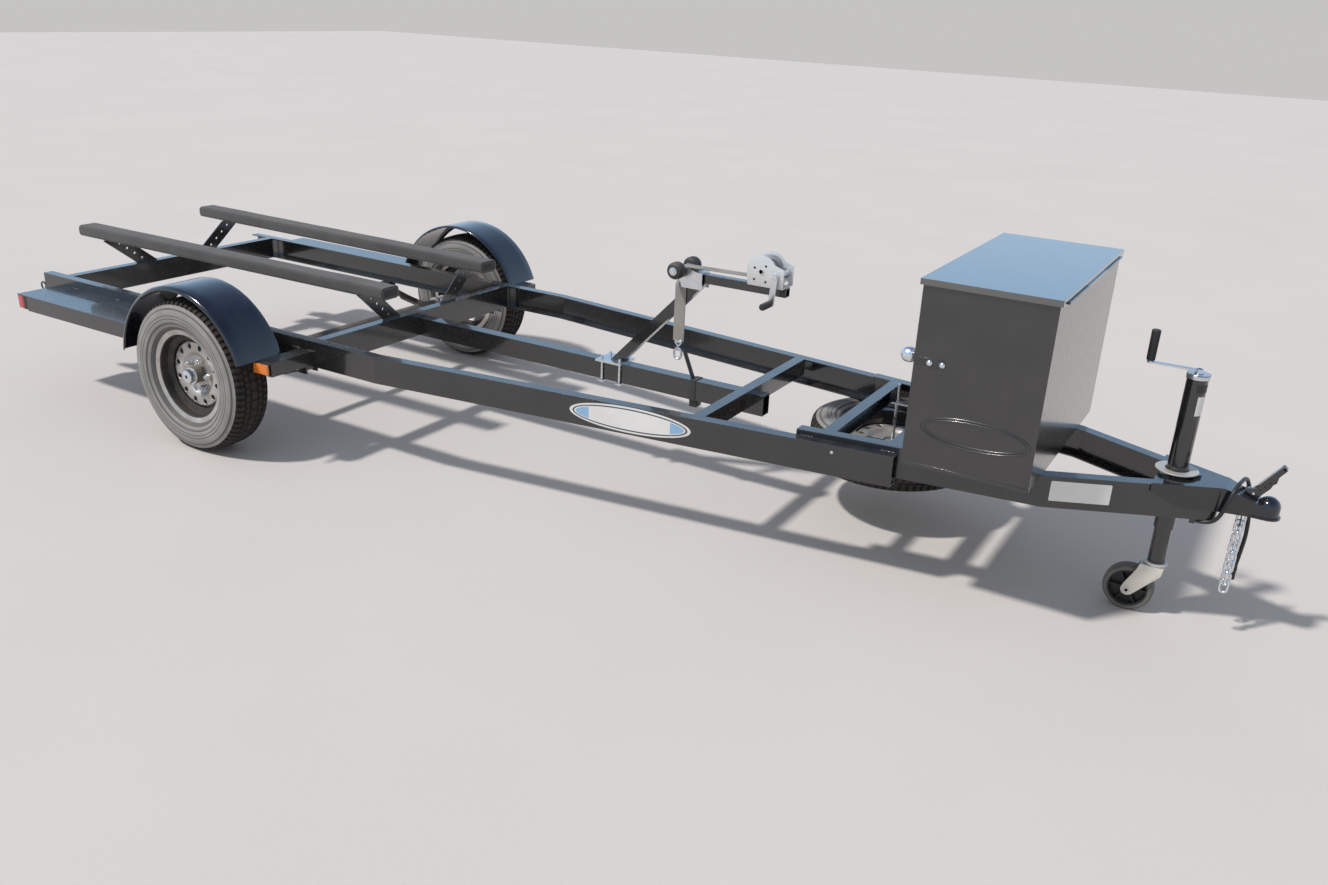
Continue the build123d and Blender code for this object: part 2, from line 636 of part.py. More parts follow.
# Bunks and the sloping plates that carry them
def bunk_y(x):
    """The y of a bunk's centre line at x, on the left side."""
    share = (x - BUNK_REAR_X) / (BUNK_FRONT_X - BUNK_REAR_X)
    return BUNK_REAR_Y + (BUNK_FRONT_Y - BUNK_REAR_Y) * share


with BuildPart() as bunks:
    half = BUNK_WIDTH / 2
    for side_name, side in SIDES:
        slab([(BUNK_REAR_X, side * (BUNK_REAR_Y - half)), (BUNK_FRONT_X, side * (BUNK_FRONT_Y - half)),
              (BUNK_FRONT_X, side * (BUNK_FRONT_Y + half)), (BUNK_REAR_X, side * (BUNK_REAR_Y + half))],
             BUNK_BOTTOM, BUNK_BOTTOM + BUNK_THICK)
    fillet(bunks.edges().filter_by(lambda e: e.length > BUNK_WIDTH * 2), BUNK_ROUND)
save(bunks, "bunks")

with BuildPart() as bunk_brackets:
    for side_name, side in SIDES:
        for cross_x in (REAR_CROSS_X, MAIN_CROSS_X):
            x0 = cross_x - CROSS_FLANGE / 2 - BUNK_PLATE / 2
            head_y = bunk_y(cross_x)
            rise = BUNK_BOTTOM - RAIL_TOP
            run = head_y - BUNK_FOOT_Y
            edge = BUNK_PLATE_WIDTH / 2 * hypot(run, rise) / rise
            shares = [(i + 0.75) / (BUNK_HOLE_COUNT + 0.5) for i in range(BUNK_HOLE_COUNT)]
            with BuildSketch(Plane(origin=(x0, 0, 0), x_dir=(0, side, 0), z_dir=(side, 0, 0))):
                with BuildLine():
                    Polyline((BUNK_FOOT_Y - edge, RAIL_TOP), (BUNK_FOOT_Y + edge, RAIL_TOP),
                             (head_y + edge, BUNK_BOTTOM), (head_y - edge, BUNK_BOTTOM), close=True)
                make_face()
                with Locations(*[(BUNK_FOOT_Y + run * s, RAIL_TOP + rise * s) for s in shares]):
                    Circle(BUNK_HOLE_R, mode=Mode.SUBTRACT)
            extrude(amount=side * BUNK_PLATE)
            bar(x0 - 22, x0, side * (head_y - 30), side * (head_y + 30),
                BUNK_BOTTOM - BUNK_PLATE, BUNK_BOTTOM)
            bar(x0 - 14, x0, side * (BUNK_FOOT_Y - 30), side * (BUNK_FOOT_Y + 30),
                RAIL_TOP, RAIL_TOP + BUNK_PLATE)
save(bunk_brackets, "bunk_brackets")

# Winch stand: clamp plate, sloping post, level arm
BASE_PLATE = 8.0
with BuildPart() as winch_base:
    x0, x1 = STAND_UBOLTS_X[0] - 18, STAND_UBOLTS_X[1] + 18
    wide = BEAM_WIDTH / 2 + 26
    bar(x0, x1, -wide, wide, BEAM_TOP, BEAM_TOP + BASE_PLATE)
    for x in STAND_UBOLTS_X:
        for way in (-1, 1):
            rod_z(x, way * (BEAM_WIDTH / 2 + UBOLT_R + 0.5), UBOLT_R, BEAM_TOP - BEAM_DEPTH - 12,
                  BEAM_TOP + BASE_PLATE + 12)
        bar(x - 12, x + 12, -BEAM_WIDTH / 2 - 16, BEAM_WIDTH / 2 + 16,
            BEAM_TOP - BEAM_DEPTH - 6, BEAM_TOP - BEAM_DEPTH)
save(winch_base, "winch_base")

post_low = BEAM_TOP + BASE_PLATE
arm_low = STAND_ARM_Z - STAND_ARM_TUBE / 2
lean = atan2(arm_low - post_low, STAND_TOP_X - STAND_FOOT_X)
foot_half = STAND_TUBE / 2 / sin(lean)


def post_outline(inset, low, high):
    """Outline in x, z of the sloping post between two heights, its long walls moved in."""
    half = foot_half - inset / sin(lean)
    low_x = STAND_FOOT_X + (low - post_low) / tan(lean)
    high_x = STAND_FOOT_X + (high - post_low) / tan(lean)
    return [(low_x - half, low), (low_x + half, low), (high_x + half, high), (high_x - half, high)]


arm_rear_x = STAND_TOP_X - foot_half - 4
with BuildPart() as winch_post:
    side_slab(post_outline(0, post_low, arm_low + STAND_WALL), -STAND_TUBE / 2, STAND_TUBE / 2)
    half = STAND_ARM_TUBE / 2
    bar(arm_rear_x, STAND_ARM_END_X, -half, half, STAND_ARM_Z - half, STAND_ARM_Z + half)
    bar(arm_rear_x + STAND_WALL, STAND_ARM_END_X, -half + STAND_WALL, half - STAND_WALL,
        STAND_ARM_Z - half + STAND_WALL, STAND_ARM_Z + half - STAND_WALL, mode=Mode.SUBTRACT)
    side_slab(post_outline(STAND_WALL, post_low - 1, arm_low - STAND_WALL),
              -STAND_TUBE / 2 + STAND_WALL, STAND_TUBE / 2 - STAND_WALL, mode=Mode.SUBTRACT)
save(winch_post, "winch_post")

# Bow stop: a plated bracket over the arm's rear end with two rubber rollers on a shaft
CHEEK = 5.0
cheek_y = (STRAP_WIDTH / 2 + 2, STRAP_WIDTH / 2 + 2 + CHEEK)
arm_top = STAND_ARM_Z + STAND_ARM_TUBE / 2
CHEEK_LOW = STAND_ARM_Z - 40.0
with BuildPart() as roller_bracket:
    for way in (-1, 1):
        near, far = sorted((way * cheek_y[0], way * cheek_y[1]))
        side_slab([(arm_rear_x + 46, CHEEK_LOW), (arm_rear_x + 46, arm_top),
                   (ROLLER_X + 12, ROLLER_Z + 12), (ROLLER_X - 4, ROLLER_Z + 12),
                   (ROLLER_X - 12, ROLLER_Z - 8), (ROLLER_X + 8, CHEEK_LOW)], near, far)
    bar(arm_rear_x, arm_rear_x + 46, -cheek_y[1], cheek_y[1], arm_top, arm_top + CHEEK)
    rod_y(ROLLER_X, ROLLER_Z, ROLLER_SHAFT_R, -ROLLER_Y - ROLLER_LENGTH / 2 - 8,
          ROLLER_Y + ROLLER_LENGTH / 2 + 8)
save(roller_bracket, "roller_bracket")

with BuildPart() as bow_rollers:
    for side_name, side in SIDES:
        y0, y1 = ROLLER_Y - ROLLER_LENGTH / 2, ROLLER_Y + ROLLER_LENGTH / 2
        rod_y(ROLLER_X, ROLLER_Z, ROLLER_R, side * y0, side * y1)
        rod_y(ROLLER_X, ROLLER_Z, ROLLER_SHAFT_R + SHAFT_GAP, side * y0, side * y1,
              mode=Mode.SUBTRACT)
    rims = bow_rollers.edges().filter_by(GeomType.CIRCLE).filter_by(lambda e: e.radius > ROLLER_R - 1)
    fillet(rims, 7)
save(bow_rollers, "bow_rollers")

# Winch on the arm's front end: two side plates, a drum, a crank with its grip
plate_low = arm_top
with BuildPart() as winch_frame:
    for way in (-1, 1):
        y0 = way * (WINCH_HALF - WINCH_SHEET / 2) - WINCH_SHEET / 2
        with BuildSketch(Plane(origin=(0, y0, 0), x_dir=(1, 0, 0), z_dir=(0, -1, 0))):
            with Locations((WINCH_X, WINCH_Z)):
                Circle(WINCH_PLATE_R)
            with BuildLine():
                Polyline((WINCH_X - 50, plate_low), (WINCH_X + 84, plate_low),
                         (WINCH_X + 84, WINCH_Z + 16), (WINCH_X + 50, WINCH_Z + 25),
                         (WINCH_X - 50, WINCH_Z), close=True)
            make_face()
        extrude(amount=-WINCH_SHEET)
    bar(WINCH_X - 50, WINCH_X + 84, -WINCH_HALF, WINCH_HALF, plate_low, plate_low + WINCH_SHEET)
    rod_y(CRANK_X, WINCH_Z - 8, 9, -WINCH_HALF - 14, WINCH_HALF + 4)
    rod_y(WINCH_X, WINCH_Z, 8, -WINCH_HALF - 4, WINCH_HALF + 4)
save(winch_frame, "winch_frame")

crank_y = -WINCH_HALF - 14
with BuildPart() as winch_crank:
    side_slab([(CRANK_X - 11, WINCH_Z + 6), (CRANK_X + 11, WINCH_Z + 6),
               (CRANK_X + 2, STAND_ARM_Z - 44), (CRANK_X - 20, STAND_ARM_Z - 44)],
              crank_y - 6, crank_y)
    rod_y(CRANK_X - 9, STAND_ARM_Z - 32, 12, crank_y - 74, crank_y - 6)
save(winch_crank, "winch_crank")

# Strap wound on the drum, run over the roller shaft, turned a quarter and hung beside the post
strap_half = STRAP_WIDTH / 2
STRAP_OFF = ROLLER_SHAFT_R + STRAP_THICK / 2 + BODY_GAP
STRAP_REAR_X = ROLLER_X - STRAP_OFF
STRAP_X = ROLLER_X + 2.0
STRAP_Y = -STAND_TUBE / 2 - 4.0
STRAP_TWIST_TOP = ROLLER_Z - 12.0
STRAP_TWIST_LOW = ROLLER_Z - 64.0
with BuildPart() as winch_strap:
    over = STRAP_OFF * 0.42
    path = [(STRAP_REAR_X, STRAP_TWIST_TOP), (STRAP_REAR_X, ROLLER_Z + over),
            (ROLLER_X - over, ROLLER_Z + STRAP_OFF), (ROLLER_X + 12, ROLLER_Z + STRAP_OFF),
            (WINCH_X, WINCH_Z - DRUM_R + STRAP_THICK / 2)]
    side_slab(ribbon(path, STRAP_THICK), -strap_half, strap_half)
    rod_y(WINCH_X, WINCH_Z, DRUM_R, -strap_half, strap_half)
    rod_y(WINCH_X, WINCH_Z, 8 + BODY_GAP, -strap_half, strap_half, mode=Mode.SUBTRACT)
    with BuildSketch(Plane.XY.offset(STRAP_TWIST_LOW)):
        with Locations((STRAP_X, STRAP_Y)):
            Rectangle(STRAP_WIDTH, STRAP_THICK)
    with BuildSketch(Plane.XY.offset(STRAP_TWIST_TOP)):
        with Locations((STRAP_REAR_X, 0)):
            Rectangle(STRAP_THICK, STRAP_WIDTH)
    loft(ruled=True)
    bar(STRAP_X - strap_half, STRAP_X + strap_half, STRAP_Y - STRAP_THICK / 2,
        STRAP_Y + STRAP_THICK / 2, STRAP_LOW_Z, STRAP_TWIST_LOW)
save(winch_strap, "winch_strap")

# Hook under the strap, and the dark strap that ties it down to the beam
HOOK_WIDE = 40.0
HOOK_BAR = 9.0
HOOK_TOP_WIDE = 24.0
with BuildPart() as winch_hook:
    top, low, half = STRAP_LOW_Z, HOOK_LOW_Z, HOOK_WIDE / 2
    inner = half - HOOK_BAR
    y0, y1 = STRAP_Y - HOOK_BAR / 2, STRAP_Y + HOOK_BAR / 2
    side_slab([(STRAP_X - HOOK_TOP_WIDE / 2, top), (STRAP_X + HOOK_TOP_WIDE / 2, top),
               (STRAP_X + half, top - 24), (STRAP_X + half, low + 14), (STRAP_X + 8, low),
               (STRAP_X - 8, low), (STRAP_X - half, low + 14), (STRAP_X - half, top - 24)], y0, y1)
    side_slab([(STRAP_X - inner, top - 30), (STRAP_X + inner, top - 30),
               (STRAP_X + inner, low + 16), (STRAP_X, low + HOOK_BAR), (STRAP_X - inner, low + 16)],
              y0, y1, mode=Mode.SUBTRACT)
save(winch_hook, "winch_hook")

TIE_X = STAND_TOP_X
TIE_Y = -12.5
TIE_WIDTH = 25.0
TIE_THICK = 2.5
TIE_BLOCK = (32.0, 40.0, 27.0)
with BuildPart() as beam_strap:
    half = BEAM_WIDTH / 2
    low = BEAM_TOP - BEAM_DEPTH
    bar(TIE_X - TIE_WIDTH / 2, TIE_X + TIE_WIDTH / 2, -half - TIE_THICK, half + TIE_THICK,
        low - TIE_THICK, BEAM_TOP + TIE_THICK)
    bar(TIE_X - TIE_WIDTH / 2, TIE_X + TIE_WIDTH / 2, -half, half, low, BEAM_TOP, mode=Mode.SUBTRACT)
    upper = (STRAP_X + HOOK_WIDE / 2 + TIE_THICK / 2, STRAP_LOW_Z - 36.0)
    lower = (TIE_X - TIE_WIDTH / 4, BEAM_TOP + TIE_THICK / 2)
    side_slab(ribbon([upper, lower], TIE_THICK), TIE_Y - TIE_WIDTH / 2, TIE_Y + TIE_WIDTH / 2)
    length, width, height = TIE_BLOCK
    bar(TIE_X - length / 2, TIE_X + length / 2, -width / 2, width / 2,
        low - TIE_THICK - height, low - TIE_THICK)
save(beam_strap, "beam_strap")

# Spare wheel, lying flat under the frame on its carrier rod
spare_z = SPARE_TOP - TYRE_SECTION / 2
spare_centre = (SPARE_X, SPARE_Y, spare_z)
with BuildPart() as spare_tyre:
    tyre_solid(spare_centre, (0, 0, 1), (1, 0, 0))
save(spare_tyre, "spare_tyre")
with BuildPart() as spare_rim:
    rim_solid(spare_centre, (0, 0, 1), (1, 0, 0))
save(spare_rim, "spare_rim")
with BuildPart() as spare_carrier:
    wide, thick = CARRIER_BAR
    top = TONGUE_TOP - FRONT_CROSS_DEPTH
    bar(FRONT_CROSS_X + 2, RAIL_END_X - CROSS_WALL, SPARE_Y - wide / 2, SPARE_Y + wide / 2,
        top - thick, top)
    rod_z(SPARE_X, SPARE_Y, CARRIER_ROD_R, spare_z - 26, CARRIER_ROD_TOP)
    rod_z(SPARE_X, SPARE_Y, HUB_R + 26, spare_z - thick, spare_z)
    rod_z(SPARE_X, SPARE_Y, 12, spare_z - thick - 11, spare_z - thick)
save(spare_carrier, "spare_carrier")

# Storage box: a folded sheet box open at the top, with a hinged lid
BOX_BOTTOM = TONGUE_TOP
hinge_x = BOX_FRONT_X + LID_OVERHANG + 3.5
hinge_z = BOX_TOP + BODY_GAP - LID_LIP + LID_SHEET + 1.5
hinge_spans = ((-380.0, -130.5), (130.5, 380.0))
with BuildPart() as box_shell:
    bar(BOX_REAR_X, BOX_FRONT_X, -BOX_HALF_WIDTH, BOX_HALF_WIDTH, BOX_BOTTOM, BOX_TOP)
    bar(BOX_REAR_X + BOX_SHEET, BOX_FRONT_X - BOX_SHEET, -BOX_HALF_WIDTH + BOX_SHEET,
        BOX_HALF_WIDTH - BOX_SHEET, BOX_BOTTOM + BOX_SHEET, BOX_TOP, mode=Mode.SUBTRACT)
    for y0, y1 in hinge_spans:
        bar(BOX_FRONT_X, hinge_x, y0, y1, hinge_z - HINGE_R, hinge_z - HINGE_PIN_R - BODY_GAP)
        rod_y(hinge_x, hinge_z, HINGE_R, y0, y1)
    rod_y(hinge_x, hinge_z, HINGE_PIN_R, hinge_spans[0][0], hinge_spans[1][1])
save(box_shell, "box_shell")

with BuildPart() as box_lid:
    x0, x1 = BOX_REAR_X - LID_OVERHANG, BOX_FRONT_X + LID_OVERHANG
    half = BOX_HALF_WIDTH + LID_OVERHANG
    low, top = BOX_TOP + BODY_GAP - LID_LIP + LID_SHEET, BOX_TOP + BODY_GAP + LID_SHEET
    bar(x0, x1, -half, half, low, top)
    bar(x0 + LID_SHEET, x1 - LID_SHEET, -half + LID_SHEET, half - LID_SHEET, low, top - LID_SHEET,
        mode=Mode.SUBTRACT)
    y0, y1 = hinge_spans[0][1] + 1, hinge_spans[1][0] - 1
    bar(x1 - LID_SHEET, hinge_x + 1.5, y0, y1, low - 0.5, low + 2.5)
    rod_y(hinge_x, hinge_z, HINGE_R, y0, y1)
    rod_y(hinge_x, hinge_z, HINGE_PIN_R + SHAFT_GAP, y0 - 1, y1 + 1, mode=Mode.SUBTRACT)
save(box_lid, "box_lid")

# Jack: outer tube with its flange on the coupler, inner leg, caster fork and wheel
flange_low = TONGUE_TOP + COUPLER_SHEET
bore_r = JACK_TUBE_R - JACK_WALL
leg_r = bore_r - BODY_GAP
with BuildPart() as jack_tube:
    rod_z(JACK_X, 0, JACK_TUBE_R, JACK_LOW, JACK_TOP)
    rod_z(JACK_X, 0, 46, flange_low, flange_low + JACK_FLANGE)
    for turn in (0, 120, 240):
        x = JACK_X + 52 * cos(radians(turn))
        y = 52 * sin(radians(turn))
        rod_z(x, y, 18, flange_low, flange_low + JACK_FLANGE)
    rod_z(JACK_X, 0, JACK_TUBE_R + 3, JACK_TOP - 4, JACK_TOP + 10)
    rod_z(JACK_X, 0, bore_r, JACK_LOW, JACK_TOP - 6, mode=Mode.SUBTRACT)
save(jack_tube, "jack_tube")

with BuildPart() as jack_crank:
    top = JACK_TOP + 10
    rod_z(JACK_X, 0, 10, top, CRANK_Z + 8)
    bar(JACK_X - CRANK_REACH - 9, JACK_X + 11, -9, 9, CRANK_Z, CRANK_Z + 6)
    rod_z(JACK_X - CRANK_REACH, 0, GRIP_R, CRANK_Z + 6, CRANK_Z + 6 + GRIP_LENGTH)
save(jack_crank, "jack_crank")

kingpin_r = 8.0
fork_top = LEG_LOW - BODY_GAP
with BuildPart() as jack_leg:
    rod_z(JACK_X, 0, leg_r, LEG_LOW, LEG_TOP)
    rod_z(JACK_X, 0, leg_r - LEG_WALL, LEG_LOW + SWIVEL_PLATE, LEG_TOP, mode=Mode.SUBTRACT)
    rod_z(JACK_X, 0, JACK_TUBE_R + 4, LEG_LOW, LEG_LOW + SWIVEL_PLATE)
    rod_z(JACK_X, 0, kingpin_r, fork_top - FORK_SHEET - 3, LEG_LOW)
    rod_z(JACK_X, 0, kingpin_r + 5, fork_top - FORK_SHEET - 8, fork_top - FORK_SHEET - BODY_GAP)
save(jack_leg, "jack_leg")

caster_x = JACK_X - CASTER_TRAIL
arm_y = CASTER_WIDTH / 2 + 8
with BuildPart() as caster_fork:
    rod_z(JACK_X, 0, JACK_TUBE_R + 6, fork_top - FORK_SHEET, fork_top)
    bar(JACK_X - 40, JACK_X, -arm_y - FORK_SHEET, arm_y + FORK_SHEET, fork_top - FORK_SHEET, fork_top)
    for way in (-1, 1):
        side_slab([(JACK_X - 40, fork_top), (JACK_X + 30, fork_top), (JACK_X + 26, fork_top - 28),
                   (JACK_X - 8, fork_top - 66), (caster_x + 14, CASTER_R - 14),
                   (caster_x, CASTER_R - 19), (caster_x - 14, CASTER_R - 14),
                   (caster_x - 19, CASTER_R), (caster_x - 14, CASTER_R + 18),
                   (JACK_X - 46, fork_top - 22)],
                  min(way * arm_y, way * (arm_y + FORK_SHEET)), max(way * arm_y, way * (arm_y + FORK_SHEET)))
    rod_z(JACK_X, 0, kingpin_r + SHAFT_GAP, fork_top - FORK_SHEET - 1, fork_top + 1, mode=Mode.SUBTRACT)
    rod_y(caster_x, CASTER_R, CASTER_AXLE_R, -arm_y - FORK_SHEET - 5, arm_y + FORK_SHEET + 5)
save(caster_fork, "caster_fork")

CASTER_HUB_R = 17.0
CASTER_TREAD = 15.0
CASTER_SPOKES = 6
with BuildPart() as caster_wheel:
    half = CASTER_WIDTH / 2
    inner = CASTER_R - CASTER_TREAD
    centre = (caster_x, 0, CASTER_R)
    bore = CASTER_AXLE_R + SHAFT_GAP
    profile = [(-half - 7, bore), (half + 7, bore), (half + 7, CASTER_HUB_R), (6, CASTER_HUB_R + 3),
               (6, inner - 4), (half, inner), (half, CASTER_R - 6), (half - 7, CASTER_R),
               (-half + 7, CASTER_R), (-half, CASTER_R - 6), (-half, inner), (-6, inner - 4),
               (-6, CASTER_HUB_R + 3), (-half - 7, CASTER_HUB_R)]
    ring_profile(profile, centre, (0, 1, 0), (1, 0, 0))
    with Locations(Plane(origin=centre, x_dir=(1, 0, 0), z_dir=(0, 1, 0))):
        with PolarLocations((CASTER_HUB_R + inner) / 2, CASTER_SPOKES):
            Cylinder(10, 2 * half, mode=Mode.SUBTRACT)
save(caster_wheel, "caster_wheel")

# Coupler: a plate over the tongue's front with skirts outside its webs and a hooded ball socket
plate_top = TONGUE_TOP + COUPLER_SHEET
rear_y = y_on(tongue_line, COUPLER_REAR_X)
sheet_y = COUPLER_SHEET / cos(tongue_angle)
cover = [(COUPLER_REAR_X, rear_y + sheet_y), (TONGUE_END_X, TONGUE_END_Y + sheet_y),
         (NECK_LOW_X, DOME_R), (COUPLER_BALL_X, DOME_R)]
hollow = [(COUPLER_REAR_X - 1, y_on(tongue_line, COUPLER_REAR_X - 1)), (TONGUE_END_X, TONGUE_END_Y)]
neck_start_x = TONGUE_END_X + 10.0
# The top link's square wire rests by its lower corners in the lug's round hole
lug_z = CHAIN_TOP_Z + LINK_PITCH / 2 - LUG_PLAY + sqrt(LUG_HOLE_R ** 2 - (LINK_WIRE / 2) ** 2)
with BuildPart() as coupler:
    slab(cover + [(x, -y) for x, y in cover[::-1]], COUPLER_LOW, plate_top)
    slab(hollow + [(x, -y) for x, y in hollow[::-1]], COUPLER_LOW, TONGUE_TOP, mode=Mode.SUBTRACT)
    bar(TONGUE_END_X, COUPLER_BALL_X - DOME_R - 6, -DOME_R + COUPLER_SHEET, DOME_R - COUPLER_SHEET,
        COUPLER_LOW, NECK_LOW_Z - COUPLER_SHEET, mode=Mode.SUBTRACT)
    side_slab([(COUPLER_REAR_X - 1, COUPLER_LOW + 46), (COUPLER_REAR_X + 90, COUPLER_LOW - 1),
               (COUPLER_REAR_X - 1, COUPLER_LOW - 1)], -rear_y - 20, rear_y + 20, mode=Mode.SUBTRACT)
    side_slab([(neck_start_x, plate_top), (neck_start_x, plate_top + 1), (NOSE_X + 1, plate_top + 1),
               (NOSE_X + 1, NECK_LOW_Z), (NECK_LOW_X, NECK_LOW_Z)],
              -rear_y, rear_y, mode=Mode.SUBTRACT)
    side_slab([(NECK_LOW_X, NECK_LOW_Z), (NOSE_X + 1, NECK_LOW_Z + 1), (NOSE_X + 1, COUPLER_LOW + BALL_DEPTH),
               (COUPLER_BALL_X, COUPLER_LOW + BALL_DEPTH)],
              -rear_y, rear_y, mode=Mode.SUBTRACT)
    rod_z(COUPLER_BALL_X, 0, DOME_R, COUPLER_LOW, COUPLER_LOW + BALL_DEPTH)
    with Locations((COUPLER_BALL_X, 0, COUPLER_LOW + BALL_DEPTH)):
        Sphere(DOME_R)
    rod_z(COUPLER_BALL_X, 0, DOME_R, COUPLER_LOW - DOME_R, COUPLER_LOW, mode=Mode.SUBTRACT)
    rod_z(COUPLER_BALL_X, 0, NOSE_R, COUPLER_LOW, COUPLER_LOW + LIP)
    bar(CHAIN_X + 20, COUPLER_BALL_X, -NOSE_R, NOSE_R, COUPLER_LOW, COUPLER_LOW + LIP)
    rod_z(COUPLER_BALL_X, 0, BALL_R, COUPLER_LOW - 1, COUPLER_LOW + BALL_DEPTH, mode=Mode.SUBTRACT)
    with Locations((COUPLER_BALL_X, 0, COUPLER_LOW + BALL_DEPTH)):
        Sphere(BALL_R, mode=Mode.SUBTRACT)
    rod_z(JACK_X, 0, JACK_TUBE_R + BODY_GAP, TONGUE_TOP - 1, plate_top + 1, mode=Mode.SUBTRACT)
    x0, x1 = CHAIN_X - LUG_THICK / 2, CHAIN_X + LUG_THICK / 2
    bar(x0, x1, -NOSE_R, NOSE_R, COUPLER_LOW, COUPLER_LOW + LUG_HOLE_R)
    bar(x0, x1, -CHAIN_Y - LUG_HOLE_R - LUG_EDGE, CHAIN_Y + LUG_HOLE_R + LUG_EDGE,
        lug_z - LUG_HOLE_R - LUG_EDGE, COUPLER_LOW + LUG_HOLE_R)
    with BuildSketch(Plane(origin=(x0, 0, 0), x_dir=(0, 1, 0), z_dir=(1, 0, 0))):
        with Locations((-CHAIN_Y, lug_z), (CHAIN_Y, lug_z)):
            Circle(LUG_HOLE_R)
    extrude(amount=LUG_THICK, mode=Mode.SUBTRACT)
save(coupler, "coupler")

latch_x = COUPLER_BALL_X - 52.0
neck_fall = (plate_top - NECK_LOW_Z) / (NECK_LOW_X - neck_start_x)
latch_z = plate_top - neck_fall * (latch_x - neck_start_x)
with BuildPart() as coupler_latch:
    side_slab([(latch_x - 18, latch_z + 18 * neck_fall), (latch_x + 22, latch_z - 22 * neck_fall),
               (latch_x + 22, latch_z + 14),
               (latch_x + 78, latch_z + 102), (latch_x + 66, latch_z + 111), (latch_x + 4, latch_z + 24),
               (latch_x - 18, latch_z + 22)], -13, 13)
save(coupler_latch, "coupler_latch")

# Safety chains: two strands of open links, each turned a quarter turn from the last
LINK_BITE = 1.0
with BuildPart() as safety_chains:
    for way in (-1, 1):
        for i in range(LINK_COUNT):
            z = CHAIN_TOP_Z - i * (LINK_PITCH - LINK_BITE)
            turned = i % 2 == 1
            plane = Plane(origin=(CHAIN_X, way * CHAIN_Y, z),
                          x_dir=(0, 0, 1), z_dir=(1, 0, 0) if turned else (0, 1, 0))
            with BuildSketch(plane.offset(-LINK_WIRE / 2)):
                SlotOverall(LINK_PITCH + 2 * LINK_WIRE, LINK_OUT)
                SlotOverall(LINK_PITCH, LINK_OUT - 2 * LINK_WIRE, mode=Mode.SUBTRACT)
            extrude(amount=LINK_WIRE)
save(safety_chains, "safety_chains")

# Wiring lead: out of its clip, up round the coupler's neck and down the other side to its plug
lead_route = [
    LEAD_START,
    (NOSE_X - 184.0, -57.0, 366.5),
    (NOSE_X - 159.0, -63.0, 386.0),
    (NOSE_X - 146.0, -70.0, 428.0),
    (NOSE_X - 137.0, -72.0, 472.0),
    (NOSE_X - 128.0, -46.0, 498.0),
    (NOSE_X - 120.0, 0.0, 500.0),
    (NOSE_X - 112.0, 46.0, 496.0),
    (NOSE_X - 102.0, 71.0, 470.0),
    (NOSE_X - 90.0, 72.0, 420.0),
    (NOSE_X - 80.0, 70.0, 364.0),
    (NOSE_X - 76.0, 68.0, 308.0),
    (NOSE_X - 79.0, 66.0, 252.0),
    (NOSE_X - 83.0, 65.0, 202.0),
]


def lead_radii(points):
    """The largest arc that each corner's two runs allow."""
    radii = []
    for a, b, c in zip(points, points[1:], points[2:]):
        first, second = Vector(b) - Vector(a), Vector(c) - Vector(b)
        turn = radians(first.get_angle(second))
        radii.append(0.45 * min(first.length, second.length) / tan(turn / 2))
    return radii


with BuildPart() as wiring_lead:
    radii = lead_radii(lead_route)
    print("lead radii", [round(r) for r in radii])
    with BuildLine() as lead_line:
        FilletPolyline(*lead_route, radius=radii)
    start_way = Vector(lead_route[1]) - Vector(lead_route[0])
    with BuildSketch(Plane(origin=lead_route[0], z_dir=start_way)):
        Circle(LEAD_R)
    sweep()
    lead_length = sum(edge.length for edge in lead_line.edges())
    print("lead volume share", round(wiring_lead.part.volume / (pi * LEAD_R ** 2 * lead_length), 4))
save(wiring_lead, "wiring_lead")

end_way = Vector(lead_route[-1]) - Vector(lead_route[-2])
with BuildPart() as wiring_plug:
    with BuildSketch(Plane(origin=lead_route[-1], x_dir=(0, 1, 0), z_dir=end_way)):
        RectangleRounded(24, 12, 3)
    extrude(amount=44)
save(wiring_plug, "wiring_plug")
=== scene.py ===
"""Looks of a single-axle boat trailer: paint, plating, rubber, carpet, webbing and small hardware.

Shapes are worked out in millimetres about the axle: x forward from the axle line, y to the
trailer's left, z up from the ground. Each finished piece is put into metres in the part's frame.
"""

import logging
import random
from dataclasses import dataclass
from enum import Enum
from math import atan2, cos, pi, radians, sin

import bmesh
import bpy
from mathutils import Matrix, Vector


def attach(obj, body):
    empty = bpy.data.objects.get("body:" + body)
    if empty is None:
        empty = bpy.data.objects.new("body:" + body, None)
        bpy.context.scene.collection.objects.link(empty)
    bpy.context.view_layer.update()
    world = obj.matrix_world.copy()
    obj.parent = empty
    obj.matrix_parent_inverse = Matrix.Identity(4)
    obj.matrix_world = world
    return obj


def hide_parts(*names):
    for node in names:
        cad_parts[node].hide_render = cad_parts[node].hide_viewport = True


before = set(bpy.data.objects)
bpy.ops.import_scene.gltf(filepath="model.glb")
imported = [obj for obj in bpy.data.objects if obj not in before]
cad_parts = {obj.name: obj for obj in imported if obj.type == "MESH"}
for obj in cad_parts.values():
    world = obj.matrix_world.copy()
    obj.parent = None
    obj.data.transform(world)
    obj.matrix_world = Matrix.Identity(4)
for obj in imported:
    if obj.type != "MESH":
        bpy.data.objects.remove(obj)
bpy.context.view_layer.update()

AXLE_X = -1183.0
HUB_Y = 806.0
HUB_Z = 302.0
ROLLER_X = 1683.0
ROLLER_Z = 838.0
DRUM_X = 2009.0
DRUM_Z = 882.0
METRE = 0.001
SIDES = (("right", -1), ("left", 1))
SHARP_DEG = 32.0

Point = tuple[float, float, float] | Vector
Pair = tuple[float, float]
Socket = bpy.types.NodeSocket
Faces = list[bmesh.types.BMFace]

SPARE_SPOT: Point = (2447.0, 255.0, 267.0)
SURFACE = "Principled BSDF"

log = logging.getLogger("boat_trailer")


